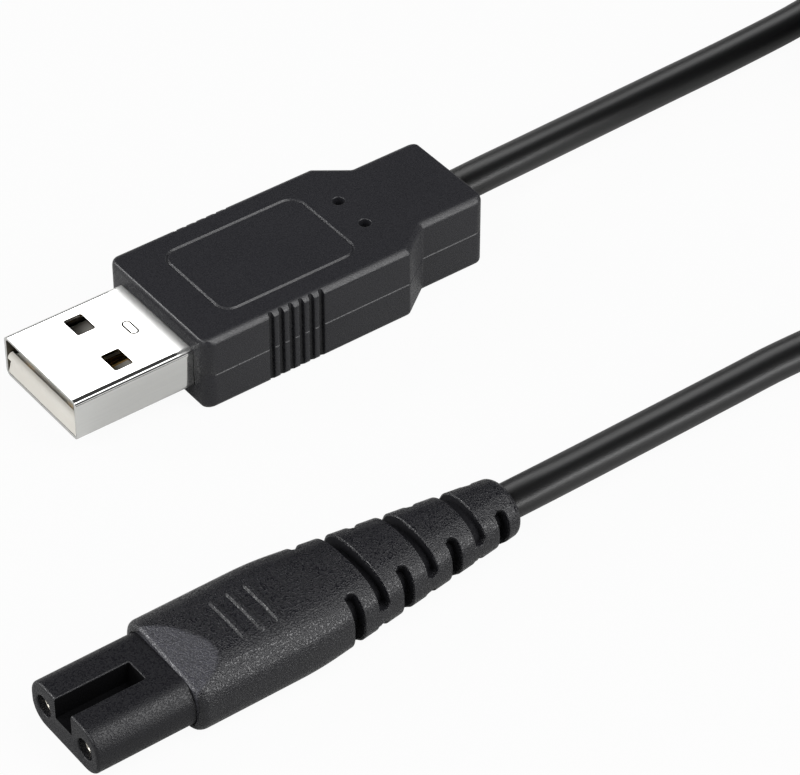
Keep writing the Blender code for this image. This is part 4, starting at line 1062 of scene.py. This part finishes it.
def patchy_colour(tree, place, colours):
    """Slow changes between two colours over the surface."""
    patches = add_node(
        tree, "ShaderNodeTexNoise", {"Scale": 1 / PATCH_SIZE, "Detail": PATCH_DETAIL}, Vector=place
    )
    first, second = (hex_colour(code) for code in colours)
    return add_node(tree, "ShaderNodeMixRGB", {"Color1": first, "Color2": second}, Fac=patches)


def drawn_lines(tree, place, line, stretch):
    """Fine lines, drawn out by a stretch under 1."""
    drawn = add_node(tree, "ShaderNodeMapping", {"Scale": stretch}, Vector=place)
    return add_node(tree, "ShaderNodeTexNoise", {"Scale": 1 / line, "Detail": LINE_DETAIL}, Vector=drawn)


def moulded(name, grain, relief, colours, roughness, **kind):
    """Moulded or cast surface: fine grain, glossier on its peaks, and slow changes of colour."""
    material, tree, shader = new_material(name, colours[0], roughness[1], **kind)
    place = add_node(tree, "ShaderNodeTexCoord").outputs["Object"]
    grains = add_node(tree, "ShaderNodeTexNoise", {"Scale": 1 / grain, "Detail": GRAIN_DETAIL}, Vector=place)
    peaks = add_node(
        tree, "ShaderNodeMapRange", {"From Min": GRAIN_LOW, "From Max": GRAIN_HIGH}, Value=grains
    )
    smooth, rough = roughness
    gloss = add_node(tree, "ShaderNodeMapRange", {"To Min": rough, "To Max": smooth}, Value=peaks)
    bump = add_node(tree, "ShaderNodeBump", {"Distance": relief}, Height=peaks)
    feed(tree, shader, Base_Color=patchy_colour(tree, place, colours), Roughness=gloss, Normal=bump)
    return material


def strain_relief_pvc():
    """Soft PVC with the coarser grain of its mould, and a painted highlight on the thumb facet: paler there,
    speckled with the grain.
    """
    material = moulded(
        "moulded_pvc_strain_relief", RELIEF_GRAIN, RELIEF_GRAIN_DEPTH,
        colours=("#0a0a0e", "#0e0e13"), roughness=(0.14, 0.5), specular=0.42,
    )
    tree = material.node_tree
    shader = tree.nodes["Principled BSDF"]
    facet = add_node(tree, "ShaderNodeAttribute", {"attribute_name": "thumb_facet"}).outputs["Fac"]
    body_colour = shader.inputs["Base Color"].links[0].from_socket
    grains = shader.inputs["Normal"].links[0].from_node.inputs["Height"].links[0].from_socket
    first, second = (hex_colour(code) for code in PAINTED_FACET_COLOURS)
    painted_facet_light = add_node(tree, "ShaderNodeMixRGB", {"Color1": first, "Color2": second}, Fac=grains)
    shade = add_node(tree, "ShaderNodeMixRGB", Fac=facet, Color1=body_colour, Color2=painted_facet_light)
    feed(tree, shader, Base_Color=shade)
    return material


def drawn_metal(name, line, relief, colours, roughness, stretch=DRAWN_ALONG):
    """Plated or turned metal: fine lines left by drawing or turning, and a slightly uneven tint."""
    material, tree, shader = new_material(name, colours[0], roughness[0], metallic=1.0)
    place = add_node(tree, "ShaderNodeTexCoord").outputs["Object"]
    lines = drawn_lines(tree, place, line, stretch)
    smooth, rough = roughness
    gloss = add_node(tree, "ShaderNodeMapRange", {"To Min": smooth, "To Max": rough}, Value=lines)
    bump = add_node(tree, "ShaderNodeBump", {"Distance": relief}, Height=lines)
    feed(tree, shader, Base_Color=patchy_colour(tree, place, colours), Roughness=gloss, Normal=bump)
    return material


def plated_shell():
    """Bright nickel plate: a mirror with faint strip lines; by the grip its top turns rougher and is painted
    paler, a painted brightening over the grip's dark reflection.
    """
    material, tree, shader = new_material("bright_nickel_plate", "#ebebe9", SHELL_ROUGHNESS[0], metallic=1.0)
    place = add_node(tree, "ShaderNodeTexCoord").outputs["Object"]
    along = add_node(tree, "ShaderNodeSeparateXYZ", Vector=place)
    grip_front = USB_PLACE.x + SHELL_EXPOSED
    rough_pale_by_grip = add_node(
        tree, "ShaderNodeMapRange",
        {"interpolation_type": "SMOOTHSTEP", "From Min": grip_front - ROUGH_PAINTED_PALE_START,
         "From Max": grip_front - ROUGH_PAINTED_PALE_FULL},
        Value=along.outputs["X"],
    )
    top = USB_PLACE.z + SHELL_HEIGHT / 2
    on_top = add_node(
        tree, "ShaderNodeMapRange", {"From Min": top - SHELL_CORNER / 2, "From Max": top - SHELL_CORNER / 4},
        Value=along.outputs["Z"],
    )
    rough_painted_pale_top = add_node(tree, "ShaderNodeMath", {"operation": "MULTIPLY"}, _0=rough_pale_by_grip, _1=on_top)
    smooth, rough = SHELL_ROUGHNESS
    dulling = add_node(tree, "ShaderNodeMapRange", {"To Min": smooth, "To Max": rough}, Value=rough_painted_pale_top)
    lines = drawn_lines(tree, place, STRIP_LINE, STRIP_DRAWN)
    nickel = add_node(
        tree, "ShaderNodeMixRGB", {"Color1": hex_colour("#e7e7e5"), "Color2": hex_colour("#efefed")},
        Fac=lines,
    )
    # Paler tint on the top by the grip: painted light over the grip's dark reflection
    shade = add_node(tree, "ShaderNodeMixRGB", {"Color2": hex_colour("#f4f4f2")}, Fac=rough_painted_pale_top, Color1=nickel)
    bump = add_node(tree, "ShaderNodeBump", {"Distance": STRIP_LINE_DEPTH}, Height=lines)
    feed(tree, shader, Base_Color=shade, Roughness=dulling, Normal=bump)
    return material


def extruded_jacket():
    """Extruded PVC: semi-gloss black with faint lines along the cord, left by the die."""
    material, tree, shader = new_material("extruded_pvc_jacket", JACKET_COLOUR, JACKET_ROUGHNESS[0])
    turn = add_node(tree, "ShaderNodeAttribute", {"attribute_name": "round"})
    along = add_node(tree, "ShaderNodeAttribute", {"attribute_name": "along"})
    spot = add_node(tree, "ShaderNodeSeparateXYZ", Vector=turn.outputs["Vector"])
    place = add_node(
        tree, "ShaderNodeCombineXYZ", X=spot.outputs["X"], Y=spot.outputs["Y"], Z=along.outputs["Fac"]
    )
    lines = drawn_lines(tree, place, DIE_LINE, (1.0, 1.0, DIE_LINE / DIE_LINE_RUN))
    smooth, rough = JACKET_ROUGHNESS
    gloss = add_node(tree, "ShaderNodeMapRange", {"To Min": smooth, "To Max": rough}, Value=lines)
    bump = add_node(tree, "ShaderNodeBump", {"Distance": DIE_LINE_DEPTH}, Height=lines)
    feed(tree, shader, Roughness=gloss, Normal=bump)
    return material


def woven_nylon():
    """Woven nylon: a fine plain weave that follows the strap round its corners."""
    material, tree, shader = new_material("woven_nylon_strap", "#1d1d1f", 0.75, specular=0.3)
    place = add_node(tree, "ShaderNodeTexCoord").outputs["Object"]
    parts = add_node(tree, "ShaderNodeSeparateXYZ", Vector=place)
    along = add_node(
        tree, "ShaderNodeMath", {"operation": "ADD"}, _0=parts.outputs["X"], _1=parts.outputs["Z"]
    )
    flat = add_node(tree, "ShaderNodeCombineXYZ", X=along, Y=parts.outputs["Y"])
    threads = []
    for direction in ("X", "Y"):
        wave = {"bands_direction": direction, "Scale": WAVE_LENGTH_AT_ONE / THREAD_SPACING}
        bands = add_node(tree, "ShaderNodeTexWave", wave, Vector=flat)
        threads.append(bands.outputs["Fac"])
    weave = add_node(tree, "ShaderNodeMath", {"operation": "MULTIPLY"}, _0=threads[0], _1=threads[1])
    shade = add_node(
        tree, "ShaderNodeMixRGB", {"Color1": hex_colour("#101011"), "Color2": hex_colour("#2a2a2c")},
        Fac=weave,
    )
    bump = add_node(tree, "ShaderNodeBump", {"Distance": THREAD_RELIEF}, Height=weave)
    feed(tree, shader, Base_Color=shade, Normal=bump)
    return material


def white_share(tree):
    """How much of the floor is plain white to the eye, in mirrors and through glass, but not to light."""
    ray = add_node(tree, "ShaderNodeLightPath").outputs
    shares = []
    for kind, share in FLOOR_WHITE.items():
        shares.append(add_node(tree, "ShaderNodeMapRange", {"To Max": share}, Value=ray[kind]))
    either = add_node(tree, "ShaderNodeMath", {"operation": "MAXIMUM"}, _0=shares[0], _1=shares[1])
    return add_node(tree, "ShaderNodeMath", {"operation": "MAXIMUM"}, _0=either, _1=shares[2])


def make_floor():
    """White paper: mostly plain white to the eye, with the object's soft shadow kept on it."""
    material, tree, shader = new_material("white_paper", "#9c9c9b", 0.9, specular=0.1)
    place = add_node(tree, "ShaderNodeTexCoord").outputs["Object"]
    fibres = add_node(
        tree, "ShaderNodeTexNoise", {"Scale": 1 / PAPER_FIBRE, "Detail": PATCH_DETAIL}, Vector=place
    )
    bump = add_node(tree, "ShaderNodeBump", {"Distance": PAPER_RELIEF}, Height=fibres)
    feed(tree, shader, Normal=bump)
    white = add_node(tree, "ShaderNodeEmission", {"Strength": 1.0})
    both = add_node(tree, "ShaderNodeMixShader", _0=white_share(tree), _1=shader, _2=white)
    feed(tree, tree.nodes["Material Output"], Surface=both)
    shape = bmesh.new()
    bmesh.ops.create_grid(shape, x_segments=1, y_segments=1, size=FLOOR_SIZE / 2)
    floor = object_from("paper_floor", shape)
    floor.data.materials.append(material)


def make_world():
    """Plain room: white at the height of the horizon, darker overhead, where the softboxes hang."""
    world = bpy.data.worlds.new("plain_room")
    bpy.context.scene.world = world
    world.use_nodes = True
    tree = world.node_tree
    backdrop = tree.nodes["Background"]
    backdrop.inputs["Color"].default_value = hex_colour("#ffffff")
    direction = add_node(tree, "ShaderNodeTexCoord").outputs["Generated"]
    height = add_node(tree, "ShaderNodeSeparateXYZ", Vector=direction)
    level = add_node(
        tree, "ShaderNodeMapRange",
        {"interpolation_type": "SMOOTHSTEP", "From Max": ROOM_WHITE_TO, "To Min": 1.0, "To Max": ROOM_LIGHT},
        Value=height.outputs["Z"],
    )
    feed(tree, backdrop, Strength=level)


def make_softbox(name, direction, size, brightness):
    """An area light that faces the connectors; a brightness of 1 looks white in a mirror."""
    data = bpy.data.lights.new(name, "AREA")
    data.shape = "RECTANGLE"
    data.size, data.size_y = size
    data.energy = brightness * math.pi * data.size * data.size_y
    lamp = add_object(name, data)
    towards = Vector(direction).normalized()
    lamp.location = towards * LAMP_DISTANCE
    lamp.rotation_euler = towards.to_track_quat("Z", "Y").to_euler()
    return lamp


def link_light(lamp, items, state):
    """Light some pieces alone with a lamp, or keep it off them as a studio does with a black card."""
    receivers = bpy.data.collections.new(lamp.name + "_pieces")
    for item in items:
        receivers.objects.link(item)
    for entry in receivers.collection_objects:
        entry.light_linking.link_state = state
    lamp.light_linking.receiver_collection = receivers


def make_camera():
    """The photograph's camera."""
    data = bpy.data.cameras.new("camera")
    data.lens = CAMERA_LENS
    data.sensor_width = CAMERA_SENSOR
    data.sensor_fit = "HORIZONTAL"
    data.clip_start = CAMERA_NEAREST
    camera = add_object("camera", data)
    camera.location = CAMERA_PLACE
    camera.rotation_euler = (CAMERA_TILT, 0.0, CAMERA_TURN)
    bpy.context.scene.camera = camera


def dress_node(name, material):
    """Give a CAD node that stays visible its finish."""
    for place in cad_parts[name].material_slots:
        place.material = material


# The camera and the cord come first
make_camera()
path = cord_path()
cord = make_cord(path, extruded_jacket())
tie = make_tie(woven_nylon())

# Moulded PVC grip of the USB plug: matt black with a spark-eroded mould's grain, drawn coarser to show
make_usb_overmould(moulded(
    "moulded_pvc_grip", grain=0.13 * MM, relief=0.006 * MM,
    colours=("#1b1b1e", "#1f1f22"), roughness=(0.26, 0.42), specular=0.36,
))
# Inside of the strain relief's slots: matt and with little shine, painted shade so that the slots read dark
slot_shade_pvc = moulded(
    "matt_pvc_recess", grain=0.3 * MM, relief=0.01 * MM,
    colours=("#0e0e11", "#111114"), roughness=(0.7, 0.85), specular=0.12,
)
make_trimmer_overmould(strain_relief_pvc(), slot_shade_pvc)

# Moulded nylon nose: satin black with a fine grain, drawn coarser than life to show
nose_nylon = moulded(
    "moulded_nylon_nose", grain=0.14 * MM, relief=0.012 * MM,
    colours=("#101013", "#131316"), roughness=(0.26, 0.56), specular=0.27,
)
# Inside of the key slot: near black and dead matt, painted shade so that the slot looks black
key_slot_shade_nylon = moulded(
    "matt_nylon_recess", grain=0.3 * MM, relief=0.01 * MM,
    colours=("#040405", "#060607"), roughness=(0.8, 0.95), specular=0.05,
)
make_trimmer_nose(nose_nylon, key_slot_shade_nylon)

# Inside of the shell and the detent's line: a dark, dull steel, painted shade that keeps the hollow dark
painted_shade_steel = drawn_metal(
    "dull_tinned_steel", line=0.12 * MM, relief=0.004 * MM,
    colours=("#55524a", "#6a665b"), roughness=(0.45, 0.6),
)
shell = make_usb_shell(plated_shell(), painted_shade_steel)

# Turned brass with nickel plate: fine rings round the sockets
socket_nickel = drawn_metal(
    "turned_nickel_plated_brass", line=0.1 * MM, relief=0.002 * MM,
    colours=("#cfc9bb", "#e0dcd2"), roughness=(0.15, 0.3), stretch=TURNED_ROUND,
)
make_trimmer_socket("trimmer_socket_power", 1, socket_nickel)
make_trimmer_socket("trimmer_socket_ground", -1, socket_nickel)

# Gold flash on the contacts, with lines worn along them by plugging in
gold = drawn_metal(
    "gold_plated_contact", line=0.08 * MM, relief=0.002 * MM,
    colours=("#cfa55a", "#e2c184"), roughness=(0.18, 0.34),
)
for contact in CONTACTS:
    dress_node("usb_contact_" + contact, gold)

# Glass-filled ivory polymer of the tongue: matt, slightly speckled
tongue = make_usb_tongue(moulded(
    "ivory_glass_filled_polymer", grain=0.15 * MM, relief=0.006 * MM,
    colours=("#dcd8cf", "#e9e6df"), roughness=(0.42, 0.6), specular=0.4,
))

# Natural polyethylene of the inner moulds: milky grey, waxy
inner_polyethylene = moulded(
    "natural_polyethylene", grain=0.4 * MM, relief=0.01 * MM,
    colours=("#c6c6bf", "#d8d8d2"), roughness=(0.4, 0.55), specular=0.4,
)
# Soft solder: dull grey, frosted where it cooled
solder = moulded(
    "tin_solder", grain=0.2 * MM, relief=0.01 * MM,
    colours=("#a9a9a8", "#c9c9c8"), roughness=(0.3, 0.55), metallic=1.0,
)
# PVC insulation of the two cores: smooth and slightly glossy
insulation = {"grain": 0.3 * MM, "relief": 0.004 * MM, "roughness": (0.3, 0.42)}
red_pvc = moulded("red_pvc_insulation", colours=("#a81d1b", "#bd2a26"), **insulation)
black_pvc = moulded("black_pvc_insulation", colours=("#161617", "#1f1f20"), **insulation)
for end in ("usb", "trimmer"):
    dress_node(end + "_inner_mould", inner_polyethylene)
    for pole, pvc in (("power", red_pvc), ("ground", black_pvc)):
        dress_node(f"{end}_core_{pole}", pvc)
        dress_node(f"{end}_solder_{pole}", solder)

# Stage and light
make_floor()
make_world()
lamps = {name: make_softbox(name, *facts) for name, facts in SOFTBOXES.items()}
for name in ("near_softbox", "top_softbox"):
    link_light(lamps[name], [cord, tongue, shell], "EXCLUDE")
link_light(lamps["left_softbox"], [shell, tongue], "EXCLUDE")
for piece, softboxes in ((cord, CORD_SOFTBOXES), (shell, SHELL_SOFTBOXES)):
    for name, facts in softboxes.items():
        link_light(make_softbox(name, *facts), [piece], "INCLUDE")

bpy.context.scene.view_settings.view_transform = "Standard"
